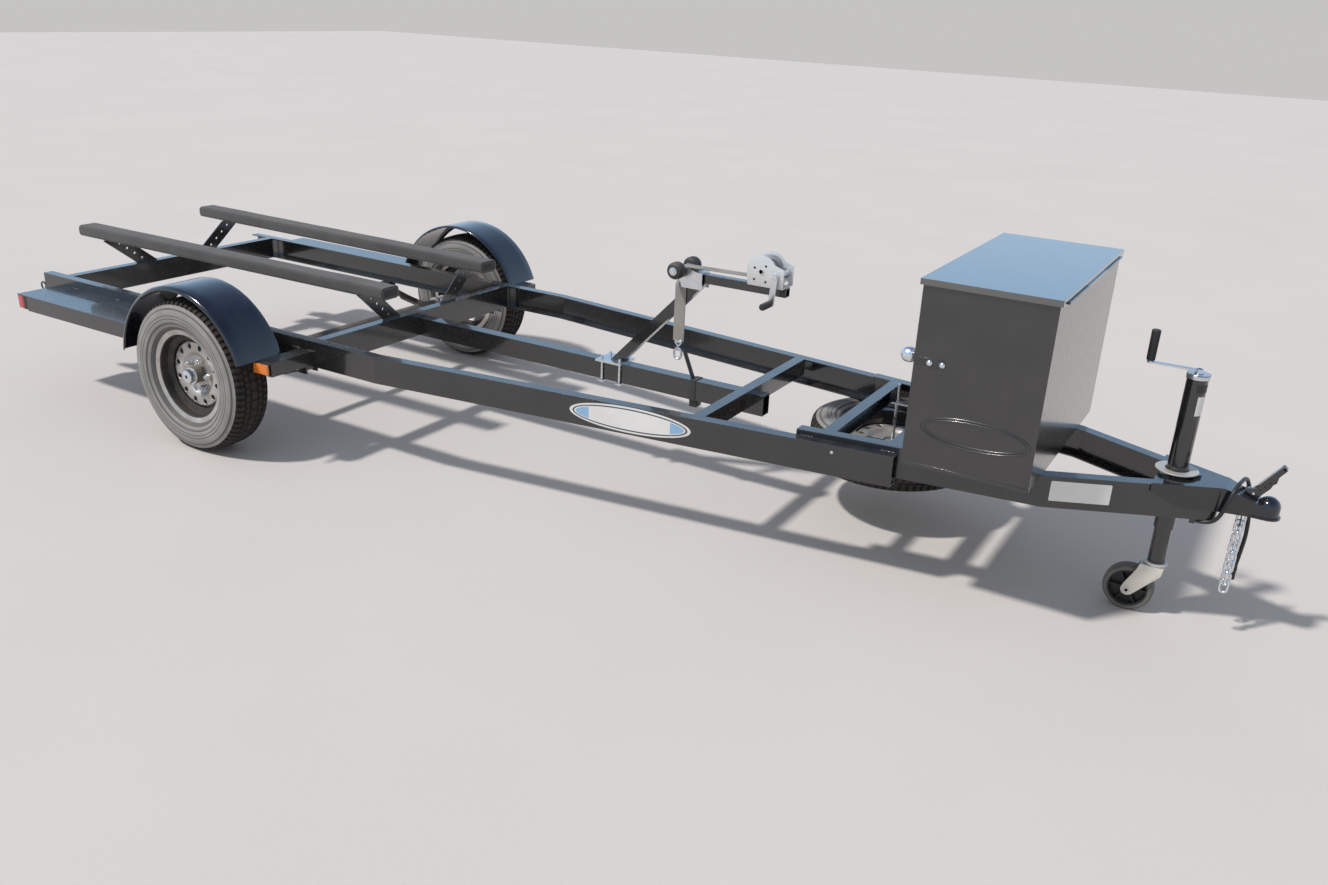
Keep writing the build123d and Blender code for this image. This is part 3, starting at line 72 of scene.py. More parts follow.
class Axis(Enum):
    """The way a round piece's axis points."""

    X = (1.0, 0.0, 0.0)
    Y = (0.0, 1.0, 0.0)
    Z = (0.0, 0.0, 1.0)


class Body(Enum):
    """The moving parts that pieces ride on."""

    FRAME = "frame"
    WHEEL_RIGHT = "wheel_right"
    WHEEL_LEFT = "wheel_left"
    ROLLERS = "bow_rollers"
    LEG = "jack_leg"
    FORK = "caster_fork"
    CASTER = "caster_wheel"


# Finishes


class NodeBench:
    """The nodes of one material or world, with short ways to add and join them."""

    def __init__(self, owner: bpy.types.Material | bpy.types.World, shader: str) -> None:
        """Start on an owner's nodes, round its shader of that name."""
        owner.use_nodes = True
        self.tree = owner.node_tree
        self.shader = self.tree.nodes[shader]

    def join(self, source: object, target: Socket) -> None:
        """Join something to an input.

        Args:
            source: an output that is linked to it, or a plain value that it takes.
            target: the input.
        """
        if isinstance(source, Socket):
            self.tree.links.new(source, target)
        else:
            target.default_value = source

    def add(self, kind: str, inputs: dict[str | int, object], output: str | int,
            **settings: object) -> Socket:
        """Add a node and join its inputs.

        Args:
            kind: the node type's name without its ShaderNode prefix.
            inputs: an output or a plain value for each input, by its name or place.
            output: name or place of the output that is wanted.
            settings: properties of the node, such as its blend mode.

        Returns:
            That output.
        """
        made = self.tree.nodes.new(f"ShaderNode{kind}")
        for key, value in settings.items():
            setattr(made, key, value)
        for key, source in inputs.items():
            self.join(source, made.inputs[key])
        return made.outputs[output]

    def give(self, **values: object) -> None:
        """Give the shader's inputs outputs or plain values, by their names with _ for a space."""
        for name, source in values.items():
            self.join(source, self.shader.inputs[name.replace("_", " ")])

    def base(self) -> Socket:
        """The output that colours the surface so far."""
        return self.shader.inputs["Base Color"].links[0].from_socket

    def place(self, source: str = "Object", scale: Point = (1.0, 1.0, 1.0)) -> Socket:
        """Object or UV coordinates for a pattern, with its stretch along each axis."""
        return self.add("Mapping", {"Vector": self.add("TexCoord", {}, source), "Scale": scale},
                        "Vector")

    def noise(self, vector: Socket, scale: float, detail: float = 3.0,
              rough: float = 0.55) -> Socket:
        """A noise value of about 0 to 1 at a scale in waves per metre."""
        return self.add("TexNoise", {"Vector": vector, "Scale": scale, "Detail": detail,
                                     "Roughness": rough}, "Fac")

    def span(self, value: object, low: float, high: float, to_low: float = 0.0,
             to_high: float = 1.0) -> Socket:
        """Spread the values between two limits over a new range, clamped."""
        return self.add("MapRange", {"Value": value, "From Min": low, "From Max": high,
                                     "To Min": to_low, "To Max": to_high}, "Result")

    def sum(self, kind: str, first: object, second: object) -> Socket:
        """Work out two values together, by the Math node's operation of that name."""
        return self.add("Math", {0: first, 1: second}, 0, operation=kind)

    def times(self, first: object, second: object) -> Socket:
        """The product of two values."""
        return self.sum("MULTIPLY", first, second)

    def mix(self, share: object, first: object, second: object) -> Socket:
        """Blend two colours by a share of 0 to 1."""
        ends = [(*end, 1.0) if isinstance(end, tuple) else end for end in (first, second)]
        return self.add("Mix", {"Factor": share, 6: ends[0], 7: ends[1]}, 2, data_type="RGBA")

    def bump(self, height: Socket, strength: float, distance: float,
             normal: Socket | None = None) -> Socket:
        """A bumped normal from a height, over another normal where one is given."""
        under = {} if normal is None else {"Normal": normal}
        return self.add("Bump", {"Strength": strength, "Distance": distance, "Height": height,
                                 **under}, "Normal")


@dataclass(frozen=True)
class Finish:
    """A surface finish: two close tones, grain, dust that settled on it and worn edges."""

    name: str
    tone: Point
    second: Point
    metallic: float = 0.0
    rough: float = 0.4
    rough_spread: float = 0.15
    blotches: float = 7.0
    grain: float = 600.0
    relief: float = 0.08
    relief_depth: float = 0.0004
    coat: float = 0.0
    coat_rough: float = 0.1
    coat_ior: float = 1.5
    dust: float = 0.0
    dust_tone: Point = (0.42, 0.36, 0.29)
    edge: float = 0.0
    edge_tone: Point = (0.32, 0.31, 0.30)
    edge_radius: float = 0.0016

    def make(self) -> bpy.types.Material:
        """Make the finish's material, once.

        Returns:
            The material, shared by all that carry the finish.
        """
        made = bpy.data.materials.get(self.name)
        if made is None:
            made = bpy.data.materials.new(self.name)
            self.lay(NodeBench(made, SURFACE))
        return made

    def lay(self, bench: NodeBench) -> None:
        """Lay the nodes of the finish.

        Args:
            bench: the nodes under work.
        """
        where = bench.place()
        blotch = bench.span(bench.noise(where, self.blotches, 5.0), 0.34, 0.66)
        grain = bench.noise(where, self.grain, 2.0)
        colour = bench.mix(blotch, self.tone, self.second)
        colour = bench.mix(bench.span(grain, 0.3, 0.7, 0.0, 0.25), colour, self.second)
        spread = bench.times(bench.noise(where, self.blotches * 6, 4.0), self.rough_spread)
        rough = bench.sum("ADD", self.rough - self.rough_spread / 2, spread)
        colour, rough, normal = self.weather(bench, where, colour, rough)
        normal = bench.bump(self.height(bench, where, grain), self.relief, self.relief_depth,
                            normal)
        bench.give(Normal=normal, Base_Color=colour, Roughness=rough, Metallic=self.metallic,
                   Coat_Weight=self.coat, Coat_Roughness=self.coat_rough, Coat_IOR=self.coat_ior)

    def weather(self, bench: NodeBench, where: Socket, colour: Socket,
                rough: Socket) -> tuple[Socket, Socket, Socket | None]:
        """Add settled dust and worn edges.

        Args:
            bench: the nodes under work.
            where: coordinates of the patterns.
            colour: the clean colour.
            rough: the clean roughness.

        Returns:
            The weathered colour and roughness, and a normal rounded at the edges, or None.
        """
        normal = None
        if self.edge:
            normal = bench.add("Bevel", {"Radius": self.edge_radius}, "Normal", samples=4)
            flat = bench.add("NewGeometry", {}, "Normal")
            turn = bench.add("VectorMath", {0: normal, 1: flat}, "Value",
                             operation="DOT_PRODUCT")
            worn = bench.span(turn, 0.98, 0.8)
            chips = bench.span(bench.noise(where, 55.0, 6.0, 0.7), 0.5, 0.62)
            share = bench.times(bench.times(worn, chips), self.edge)
            colour = bench.mix(share, colour, self.edge_tone)
        if self.dust:
            facing = bench.add("NewGeometry", {}, "Normal")
            up = bench.span(bench.add("SeparateXYZ", {0: facing}, "Z"), 0.1, 0.95)
            drift = bench.span(bench.noise(where, 11.0, 7.0, 0.65), 0.36, 0.68, 0.15, 1.0)
            film = bench.span(bench.noise(where, 3.0, 4.0), 0.45, 0.75, 0.0, 0.12)
            share = bench.times(bench.sum("ADD", bench.times(up, drift), film), self.dust)
            colour = bench.mix(share, colour, self.dust_tone)
            rough = bench.sum("ADD", rough, bench.times(share, 0.45))
        return colour, rough, normal

    def height(self, bench: NodeBench, where: Socket, grain: Socket) -> Socket:
        """The height of the finish's relief, which is its grain alone."""
        return grain


@dataclass(frozen=True)
class Plating(Finish):
    """Zinc plating: bright metal with a faint spangle."""

    metallic: float = 0.92
    rough: float = 0.28
    spangle: float = 160.0

    def height(self, bench: NodeBench, where: Socket, grain: Socket) -> Socket:
        """The spangle's facets over the grain."""
        cells = bench.add("TexVoronoi", {"Vector": where, "Scale": self.spangle}, "Distance")
        return bench.sum("ADD", bench.times(cells, 0.6), grain)


@dataclass(frozen=True)
class Carpet(Finish):
    """Short pile over a board: tufts with painted shade between them, a matted sheen and trodden
    streaks.
    """

    rough: float = 0.95
    relief: float = 0.7
    relief_depth: float = 0.0016
    tufts: float = 420.0

    def lay(self, bench: NodeBench) -> None:
        """Lay the pile, with painted shade between its tufts.

        Args:
            bench: the nodes under work.
        """
        super().lay(bench)
        where = bench.place(scale=(0.25, 1.0, 1.0))
        streaks = bench.span(bench.noise(where, 28.0, 5.0, 0.6), 0.35, 0.7)
        tuft = bench.noise(bench.place(), self.tufts, 4.0, 0.7)
        tone = bench.mix(bench.times(streaks, 0.45), bench.base(), self.second)
        # Painted shade: the pile darkened between its tufts.
        shade = bench.mix(bench.span(tuft, 0.35, 0.65, 0.55, 0.0), tone,
                          tuple(0.45 * c for c in self.tone))
        bench.give(Base_Color=shade, Sheen_Weight=0.35, Sheen_Roughness=0.5)

    def height(self, bench: NodeBench, where: Socket, grain: Socket) -> Socket:
        """The pile's tufts over its lumps."""
        lumps = bench.times(bench.noise(where, 60.0, 3.0), 0.8)
        return bench.sum("ADD", bench.noise(where, self.tufts, 4.0, 0.75), lumps)


@dataclass(frozen=True)
class Webbing(Finish):
    """Woven strap. Its UV runs across the strap in u and along it in v, both in metres."""

    rough: float = 0.8
    relief: float = 0.6
    relief_depth: float = 0.0008
    pitch: float = 0.0021
    band: float = 0.314

    def lay(self, bench: NodeBench) -> None:
        """Lay painted shade in the weave's gaps over the plain finish.

        Args:
            bench: the nodes under work.
        """
        super().lay(bench)
        # Painted shade: the gaps between the yarns darkened.
        shade = bench.mix(bench.times(self.weave(bench), 0.5), bench.base(),
                          tuple(0.4 * c for c in self.tone))
        bench.give(Base_Color=shade, Sheen_Weight=0.2)

    def weave(self, bench: NodeBench) -> Socket:
        """Lay the weave's pattern.

        Args:
            bench: the nodes under work.

        Returns:
            The gaps between the yarns, 0 on a yarn and 1 in a gap.
        """
        rows = []
        for direction, pitch in (("X", self.pitch), ("Y", 1.6 * self.pitch)):
            wave = {"Vector": bench.place("UV"), "Scale": self.band / pitch}
            rows.append(bench.add("TexWave", wave, "Fac", bands_direction=direction))
        return bench.sum("POWER", bench.times(rows[0], rows[1]), 1.5)

    def height(self, bench: NodeBench, where: Socket, grain: Socket) -> Socket:
        """The yarns standing proud of their gaps."""
        return bench.sum("SUBTRACT", 1.0, self.weave(bench))


@dataclass(frozen=True)
class Rubber(Finish):
    """Rubber that the weather has greyed, with fine cracks."""

    rough: float = 0.72
    relief: float = 0.25
    relief_depth: float = 0.0005
    cracks: float = 240.0

    def height(self, bench: NodeBench, where: Socket, grain: Socket) -> Socket:
        """Fine cracks over the grain."""
        cells = bench.add("TexVoronoi", {"Vector": where, "Scale": self.cracks}, "Distance",
                          feature="DISTANCE_TO_EDGE")
        return bench.sum("ADD", bench.span(cells, 0.0, 0.06), bench.times(grain, 0.7))


@dataclass(frozen=True)
class Lens(Finish):
    """A lamp's moulded lens, with rows of small prisms inside it."""

    rough: float = 0.12
    prism: float = 260.0

    def lay(self, bench: NodeBench) -> None:
        """Lay the prisms, with painted highlights along their rows, and the lens's clear depth.

        Args:
            bench: the nodes under work.
        """
        super().lay(bench)
        wave = {"Vector": bench.place(), "Scale": self.prism}
        prisms = bench.times(*(bench.add("TexWave", wave, "Fac", bands_direction=direction,
                                         wave_profile="TRI") for direction in ("X", "Z")))
        # Painted highlight: the prisms' rows lightened toward a brighter tone.
        bright = tuple(min(1.0, 1.7 * c + 0.03) for c in self.tone)
        shade = bench.mix(bench.span(prisms, 0.1, 0.8, 0.0, 0.6), bench.base(), bright)
        bench.give(Base_Color=shade, Normal=bench.bump(prisms, 0.35, 0.0008), Coat_Weight=1.0,
                   Subsurface_Weight=0.15, Subsurface_Scale=0.004)


FRAME_PAINT = Finish("frame_gloss", (0.005, 0.005, 0.006), (0.010, 0.010, 0.011), rough=0.26,
                     rough_spread=0.16, coat=0.8, coat_rough=0.07, coat_ior=1.65, dust=0.09,
                     edge=0.5)
FENDER_PAINT = Finish("fender_gloss", (0.004, 0.005, 0.008), (0.008, 0.009, 0.013), rough=0.18,
                      rough_spread=0.10, coat=0.8, coat_rough=0.05, coat_ior=1.5, dust=0.05,
                      edge=0.4)
BOX_PANEL = Finish("box_panel", (0.013, 0.012, 0.012), (0.021, 0.020, 0.019), rough=0.32,
                   blotches=10.0, rough_spread=0.18, relief=0.15, coat=0.9, coat_rough=0.14,
                   coat_ior=1.6, dust=0.08, edge=0.6)
LID_PAINT = Finish("lid_paint", (0.005, 0.006, 0.008), (0.009, 0.010, 0.012), rough=0.12,
                   rough_spread=0.08, coat=1.0, coat_rough=0.03, coat_ior=2.4, dust=0.04, edge=0.4)
ZINC = Plating("zinc_plate", (0.80, 0.81, 0.82), (0.66, 0.68, 0.70), relief=0.10)
WHITE_ZINC = Plating("white_zinc", (0.86, 0.86, 0.85), (0.74, 0.74, 0.73), metallic=0.55,
                     rough=0.38, relief=0.12)
DULL_ZINC = Plating("dull_zinc", (0.78, 0.75, 0.68), (0.64, 0.61, 0.54), metallic=0.45,
                    rough=0.42, dust=0.12, relief=0.14)
RIM_SILVER = Finish("rim_silver", (0.62, 0.60, 0.58), (0.42, 0.39, 0.36), metallic=0.5,
                    rough=0.36, rough_spread=0.25, blotches=16.0, grain=900.0, relief=0.1,
                    dust=0.30, dust_tone=(0.24, 0.19, 0.15))
RIM_SHADE = Finish("rim_shade", (0.070, 0.064, 0.056), (0.035, 0.031, 0.027), metallic=0.4,
                   rough=0.55, blotches=22.0, relief=0.15, dust=0.2, dust_tone=(0.16, 0.12, 0.09))
AXLE_STEEL = Finish("axle_steel", (0.22, 0.19, 0.16), (0.12, 0.10, 0.08), metallic=0.4,
                    rough=0.55, dust=0.3, relief=0.2)
# Painted shade: a near-black finish laid in the rim's vents, the hub cap's hole, the winch cheeks'
# holes and the latch's notches.
HOLE_SHADE = Finish("painted_hole_shade", (0.004, 0.004, 0.004), (0.008, 0.008, 0.007), rough=0.9)
TREAD_RUBBER = Rubber("tread_rubber", (0.017, 0.015, 0.013), (0.036, 0.030, 0.025), rough=0.85,
                      dust=0.20, dust_tone=(0.20, 0.16, 0.12))
SIDEWALL = Rubber("sidewall_rubber", (0.225, 0.225, 0.222), (0.330, 0.325, 0.312), rough=0.58,
                  blotches=9.0, cracks=330.0, dust=0.35, dust_tone=(0.34, 0.31, 0.27))
# Darker rings on the tyres' sidewalls: in their grooves and round the bead.
SIDEWALL_RING = Rubber("sidewall_rings", (0.080, 0.079, 0.077), (0.135, 0.131, 0.124), rough=0.62,
                       cracks=330.0, dust=0.3, dust_tone=(0.26, 0.22, 0.18))
ROLLER_RUBBER = Rubber("roller_mould", (0.020, 0.020, 0.021), (0.045, 0.044, 0.042), rough=0.5,
                       dust=0.22)
GRIP = Rubber("grip_rubber", (0.016, 0.016, 0.017), (0.034, 0.034, 0.035), rough=0.5, dust=0.12)
CASTER_TREAD = Rubber("caster_tread", (0.105, 0.104, 0.100), (0.170, 0.164, 0.150), rough=0.66,
                      dust=0.3)
CASTER_HUB = Finish("caster_hub", (0.012, 0.012, 0.013), (0.024, 0.023, 0.023), rough=0.45,
                    dust=0.2, relief=0.15)
CARPET = Carpet("bunk_pile", (0.052, 0.052, 0.056), (0.098, 0.096, 0.094), dust=0.16,
                dust_tone=(0.24, 0.22, 0.20))
# Painted shade: a darker copy of the pile for the bunks' front ends, which face away from the sun.
CARPET_PAINTED_SHADE = Carpet("bunk_end_painted_shade", (0.020, 0.020, 0.021), (0.036, 0.035, 0.034))
STRAP = Webbing("strap_webbing", (0.37, 0.36, 0.34), (0.24, 0.225, 0.205))
DARK_STRAP = Webbing("dark_webbing", (0.022, 0.022, 0.025), (0.055, 0.053, 0.051))
AMBER = Lens("amber_lens", (0.85, 0.22, 0.008), (0.72, 0.16, 0.005))
RED = Lens("red_lens", (0.52, 0.018, 0.012), (0.40, 0.012, 0.010))
LAMP_BLACK = Finish("lamp_housing", (0.014, 0.014, 0.014), (0.028, 0.027, 0.026), rough=0.4,
                    dust=0.15, relief=0.15)
WHITE_VINYL = Finish("blank_label", (0.82, 0.82, 0.82), (0.74, 0.74, 0.74), rough=0.35,
                     rough_spread=0.1, dust=0.06, relief=0.03)
PALE_BLUE = Finish("plate_blue", (0.30, 0.52, 0.78), (0.26, 0.46, 0.70), rough=0.35,
                   rough_spread=0.1, relief=0.03)
PLATE_LINE = Finish("plate_line", (0.020, 0.035, 0.065), (0.032, 0.048, 0.080), rough=0.35,
                    relief=0.03)
LEAD_BLACK = Finish("lead_jacket", (0.011, 0.011, 0.012), (0.024, 0.024, 0.023), rough=0.42,
                    grain=1200.0, relief=0.12, dust=0.12)


# Shop tools


def stand(name: str, data: bpy.types.ID) -> bpy.types.Object:
    """Put something into the scene.

    Args:
        name: the object's name.
        data: its mesh, curve, light or camera.

    Returns:
        The object.
    """
    made = bpy.data.objects.new(name, data)
    bpy.context.scene.collection.objects.link(made)
    return made


def rail_y(x: float, line: tuple[Pair, ...]) -> float:
    """The y of a plan line on the left side.

    Args:
        x: where it is wanted.
        line: the line's points.

    Returns:
        The y.
    """
    for (x0, y0), (x1, y1) in zip(line, line[1:]):
        if x <= x1 or (x1, y1) == line[-1]:
            return y0 + (y1 - y0) * (x - x0) / (x1 - x0)
    return line[-1][1]


SIDE_RAIL: tuple[Pair, ...] = ((-1305.0, 604.0), (725.0, 604.0), (2653.0, 357.0))
TONGUE_RAIL: tuple[Pair, ...] = ((2325.0, 357.38), (3090.0, 259.38), (3545.0, 47.21))


class Workpiece:
    """A piece under work: its mesh in millimetres, its finishes and where it rides."""

    def __init__(self, name: str, *finishes: Finish, body: Body = Body.FRAME) -> None:
        """Start an empty mesh with the finishes it will carry, the first one by default."""
        self.name = name
        self.finishes = finishes
        self.body = body
        self.bm = bmesh.new()
        self.done: list[bpy.types.Mesh] = []
        self.slot = 0

    def clear(self) -> None:
        """Set aside what is made so far, so that the next tool works on an empty mesh."""
        if self.bm.faces:
            part = bpy.data.meshes.new("part")
            self.bm.to_mesh(part)
            self.done.append(part)
            self.bm.clear()

    def painted(self) -> Faces:
        """Give the faces under work the current finish.

        Returns:
            Those faces.
        """
        for face in self.bm.faces:
            face.material_index = self.slot
        return list(self.bm.faces)

    def soften(self, edges: list[bmesh.types.BMEdge], radius: float, steps: int = 2) -> None:
        """Round those edges."""
        bmesh.ops.bevel(self.bm, geom=edges, offset=radius, affect="EDGES", segments=steps,
                        profile=0.5, material=-1, clamp_overlap=True)

    def block(self, centre: Point, size: Point, bevel: float = 0.8, segments: int = 2,
              turn: Matrix | None = None) -> None:
        """Add a block with rounded edges.

        Args:
            centre: its middle.
            size: its full lengths.
            bevel: radius of its edges, 0 for none.
            segments: steps of that rounding.
            turn: a turn about its middle.
        """
        self.clear()
        bmesh.ops.create_cube(self.bm, size=1.0)
        bmesh.ops.scale(self.bm, vec=size, verts=self.bm.verts)
        if bevel:
            self.soften(self.bm.edges[:], bevel, segments)
        spot = Matrix.Translation(centre) @ (turn.to_4x4() if turn else Matrix.Identity(4))
        bmesh.ops.transform(self.bm, matrix=spot, verts=self.bm.verts)
        self.painted()

    def rod(self, start: Point, end: Point, radius: float, sides: int = 24,
            end_radius: float | None = None, bevel: float = 0.0) -> Faces:
        """Add a round or many-sided bar between two points.

        Args:
            start: the middle of its first end.
            end: the middle of its last end.
            radius: its radius at the start.
            sides: how many sides it has.
            end_radius: its radius at the end, where it tapers.
            bevel: rounding of its two ends.

        Returns:
            Its faces.
        """
        self.clear()
        way = Vector(end) - Vector(start)
        spin = Vector((0, 0, 1)).rotation_difference(way).to_matrix().to_4x4()
        spot = Matrix.Translation((Vector(start) + Vector(end)) / 2) @ spin
        bmesh.ops.create_cone(self.bm, cap_ends=True, segments=sides, radius1=radius,
                              radius2=radius if end_radius is None else end_radius,
                              depth=way.length, matrix=spot)
        if bevel:
            self.soften([e for e in self.bm.edges
                         if any(len(face.verts) > 4 for face in e.link_faces)], bevel)
        return self.painted()

    def spun(self, outline: list[Pair], centre: Point, axis: Axis, steps: int,
             start: float = 0.0, arc: float = 360.0, way: int = 1) -> Faces:
        """Turn a closed outline of (along, radius) points about an axis.

        Args:
            outline: the points, in order.
            centre: the point on the axis where along is 0.
            axis: the axis.
            steps: steps of the turn.
            start: where the turn starts, in degrees.
            arc: how far it goes, in degrees.
            way: -1 where along points against the axis.

        Returns:
            The faces, in no set order.
        """
        self.clear()
        line = Vector(axis.value)
        across = Vector((1, 0, 0)) if axis is not Axis.X else Vector((0, 0, 1))
        across = Matrix.Rotation(radians(start), 3, line) @ across
        points = [Vector(centre) + line * along * way + across * radius
                  for along, radius in outline]
        verts = [self.bm.verts.new(point) for point in points]
        edges = [self.bm.edges.new(pair) for pair in zip(verts, [*verts[1:], verts[0]])]
        full = abs(arc - 360.0) < 1e-6
        bmesh.ops.spin(self.bm, geom=[*verts, *edges], cent=centre, axis=line,
                       angle=radians(arc), steps=steps, use_merge=full)
        bmesh.ops.remove_doubles(self.bm, verts=self.bm.verts, dist=0.001)
        bmesh.ops.recalc_face_normals(self.bm, faces=self.bm.faces)
        return self.painted()

    def plate(self, outline: list[Point], thickness: Point, bevel: float = 0.6,
              corner: float = 0.0) -> None:
        """Cut a plate to an outline and give it its thickness.

        Args:
            outline: the corners, on one plane.
            thickness: the vector from this face to the other one.
            bevel: rounding of its rim.
            corner: rounding of its corners, 0 for sharp ones.
        """
        self.clear()
        face = self.bm.faces.new([self.bm.verts.new(point) for point in outline])
        if corner:
            bmesh.ops.bevel(self.bm, geom=list(face.verts), offset=corner, affect="VERTICES",
                            segments=5, profile=0.5, material=-1, clamp_overlap=True)
            face = self.bm.faces[:][0]
        made = bmesh.ops.extrude_face_region(self.bm, geom=[face], use_keep_orig=True)["geom"]
        moved = [item for item in made if isinstance(item, bmesh.types.BMVert)]
        bmesh.ops.translate(self.bm, vec=thickness, verts=moved)
        bmesh.ops.recalc_face_normals(self.bm, faces=self.bm.faces)
        if bevel:
            way = Vector(thickness).normalized()
            rims = {e for f in self.bm.faces if abs(f.normal.dot(way)) > 0.9 for e in f.edges}
            self.soften(list(rims), bevel)
        self.painted()

    def nut(self, foot: Point, way: Point, across: float, height: float, washer: float = 0.0,
            stud: float = 0.0, stud_up: float = 0.0) -> None:
        """Add a six-sided nut or bolt head, with its washer and the stud's end.

        Args:
            foot: where it sits on the surface.
            way: the direction that it stands in.
            across: its size across the flats.
            height: its height.
            washer: radius of a washer under it, 0 for none.
            stud: radius of the stud's end, 0 for none.
            stud_up: how far the stud stands out of the nut.
        """
        base, up = Vector(foot), Vector(way).normalized()
        if washer:
            self.rod(base, base + up * 1.6, washer, 24, bevel=0.3)
            base = base + up * 1.6
        radius = across / 2 / cos(pi / 6)
        self.rod(base, base + up * height, radius, 6, bevel=min(1.2, height / 5))
        if stud:
            self.rod(base + up * height, base + up * (height + stud_up), stud, 14,
                     bevel=min(1.0, stud / 4))

    def weld(self, start: Point, end: Point, size: float = 2.6) -> None:
        """Lay a weld: small overlapping pools along a line.

        Args:
            start: where the bead starts.
            end: where it ends.
            size: radius of the bead.
        """
        line = Vector(end) - Vector(start)
        count = max(2, int(line.length / (size * 1.1)))
        self.clear()
        for i in range(count + 1):
            spot = Matrix.Translation(Vector(start) + line * i / count)
            bmesh.ops.create_uvsphere(self.bm, u_segments=8, v_segments=5, radius=size,
                                      matrix=spot)
        self.painted()

    def strip(self, middle: list[Point], across: list[Point], width: float,
              cells: int) -> None:
        """Lay a strap along a line, with its UV in metres.

        Args:
            middle: points along its centre line.
            across: the unit direction across it at each point.
            width: its width.
            cells: cells across it.
        """
        self.clear()
        steps = len(middle) - 1
        bmesh.ops.create_grid(self.bm, x_segments=steps, y_segments=cells, size=0.5)
        lengths = [(Vector(b) - Vector(a)).length for a, b in zip(middle, middle[1:])]
        runs = [sum(lengths[:i]) for i in range(steps + 1)]
        cell = {vert: (round((vert.co.x + 0.5) * steps), vert.co.y) for vert in self.bm.verts}
        for vert, (i, share) in cell.items():
            vert.co = Vector(middle[i]) + Vector(across[i]) * width * share
        layer = self.bm.loops.layers.uv.verify()
        for loop in (loop for face in self.bm.faces for loop in face.loops):
            i, share = cell[loop.vert]
            loop[layer].uv = (width * share * METRE, runs[i] * METRE)
        self.painted()

    def finish(self, replaces: tuple[str, ...] = (), slot: str = "", smooth: float = SHARP_DEG,
               solid: float = 0.0, bevel: float = 0.0) -> bpy.types.Object:
        """Put the piece into the scene, in metres and in its place.

        Args:
            replaces: the CAD nodes that it stands for.
            slot: not used.
            smooth: the angle in degrees past which an edge stays sharp.
            solid: thickness given to a sheet, half to each side, in millimetres.
            bevel: rounding of the sheet's edges, in millimetres.

        Returns:
            The finished object.
        """
        self.clear()
        for part in self.done:
            self.bm.from_mesh(part)
            bpy.data.meshes.remove(part)
        bmesh.ops.scale(self.bm, vec=(METRE, METRE, METRE), verts=self.bm.verts)
        bmesh.ops.translate(self.bm, vec=(AXLE_X * METRE, 0.0, 0.0), verts=self.bm.verts)
        mesh = bpy.data.meshes.new(self.name)
        self.bm.to_mesh(mesh)
        self.bm.free()
        for item in self.finishes:
            mesh.materials.append(item.make())
        mesh.shade_smooth()
        mesh.set_sharp_from_angle(angle=radians(smooth))
        made = stand(self.name, mesh)
        if solid:
            wall = made.modifiers.new("wall", "SOLIDIFY")
            wall.thickness = solid * METRE
            wall.offset = 0.0
        if bevel:
            soft = made.modifiers.new("soft_edge", "BEVEL")
            soft.width = bevel * METRE
            soft.segments = 2
            soft.limit_method = "ANGLE"
        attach(made, self.body.value)
        if replaces:
            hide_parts(*replaces)
        log.info("%s: %d faces", self.name, len(mesh.polygons))
        return made


def mirrored(half: list[Pair]) -> list[Pair]:
    """An outline's half and, back from its last point, the half that mirrors it."""
    return [*half, *((-along, radius) for along, radius in half[::-1])]


def round_line(points: list[Point], radius: float, steps: int = 6) -> list[Vector]:
    """A line of points with its corners rounded.

    Args:
        points: the line's corners.
        radius: how far from each corner the rounding starts.
        steps: steps of each rounding.

    Returns:
        The rounded line's points.
    """
    line = [Vector(points[0])]
    for a, b, c in zip(points, points[1:], points[2:]):
        corner = Vector(b)
        start = corner + (Vector(a) - corner).normalized() * radius
        end = corner + (Vector(c) - corner).normalized() * radius
        for i in range(steps + 1):
            share = i / steps
            line.append(start.lerp(corner, share).lerp(corner.lerp(end, share), share))
    line.append(Vector(points[-1]))
    return line


def wire(piece: Workpiece, points: list[Point], radius: float, sides: int = 10,
         closed: bool = False) -> None:
    """Bend a round wire along a line of points, by drawing a ring out step by step.

    Args:
        piece: the piece that gets it.
        points: the line.
        radius: the wire's radius.
        sides: sides of its section.
        closed: join its end to its start.
    """
    piece.clear()
    line = [Vector(p) for p in points]
    count = len(line)
    loops = []
    up = None
    for i, here in enumerate(line):
        ahead = line[(i + 1) % count] if closed or i + 1 < count else here
        behind = line[i - 1] if closed or i else here
        way = (ahead - behind).normalized()
        if up is None:
            up = way.orthogonal().normalized()
        up = (up - way * up.dot(way)).normalized()
        side = way.cross(up)
        turn = Matrix((side, up, way)).transposed().to_4x4()
        ring = bmesh.ops.create_circle(piece.bm, cap_ends=False, segments=sides, radius=radius,
                                       matrix=Matrix.Translation(here) @ turn)["verts"]
        loops.append(list({e for v in ring for e in v.link_edges}))
    pairs = list(zip(loops, loops[1:]))
    if closed:
        pairs.append((loops[-1], loops[0]))
    for first, second in pairs:
        bmesh.ops.bridge_loops(piece.bm, edges=[*first, *second])
    if not closed:
        for loop in (loops[0], loops[-1]):
            bmesh.ops.holes_fill(piece.bm, edges=loop, sides=sides)
    bmesh.ops.recalc_face_normals(piece.bm, faces=piece.painted())


def oval(middle: Point, long: float, high: float, steps: int) -> list[Point]:
    """The points of an upright oval.

    Args:
        middle: its middle.
        long: half its length along x.
        high: half its height.
        steps: how many points it has.

    Returns:
        The points.
    """
    x, y, z = middle
    turns = [2 * pi * i / steps for i in range(steps)]
    return [(x + long * cos(turn), y, z + high * sin(turn)) for turn in turns]


def repaint(node: str, finish: Finish) -> None:
    """Give a CAD node its finish.

    Args:
        node: the node's name.
        finish: the finish.
    """
    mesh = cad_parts[node].data
    mesh.materials.clear()
    mesh.materials.append(finish.make())


# Stage


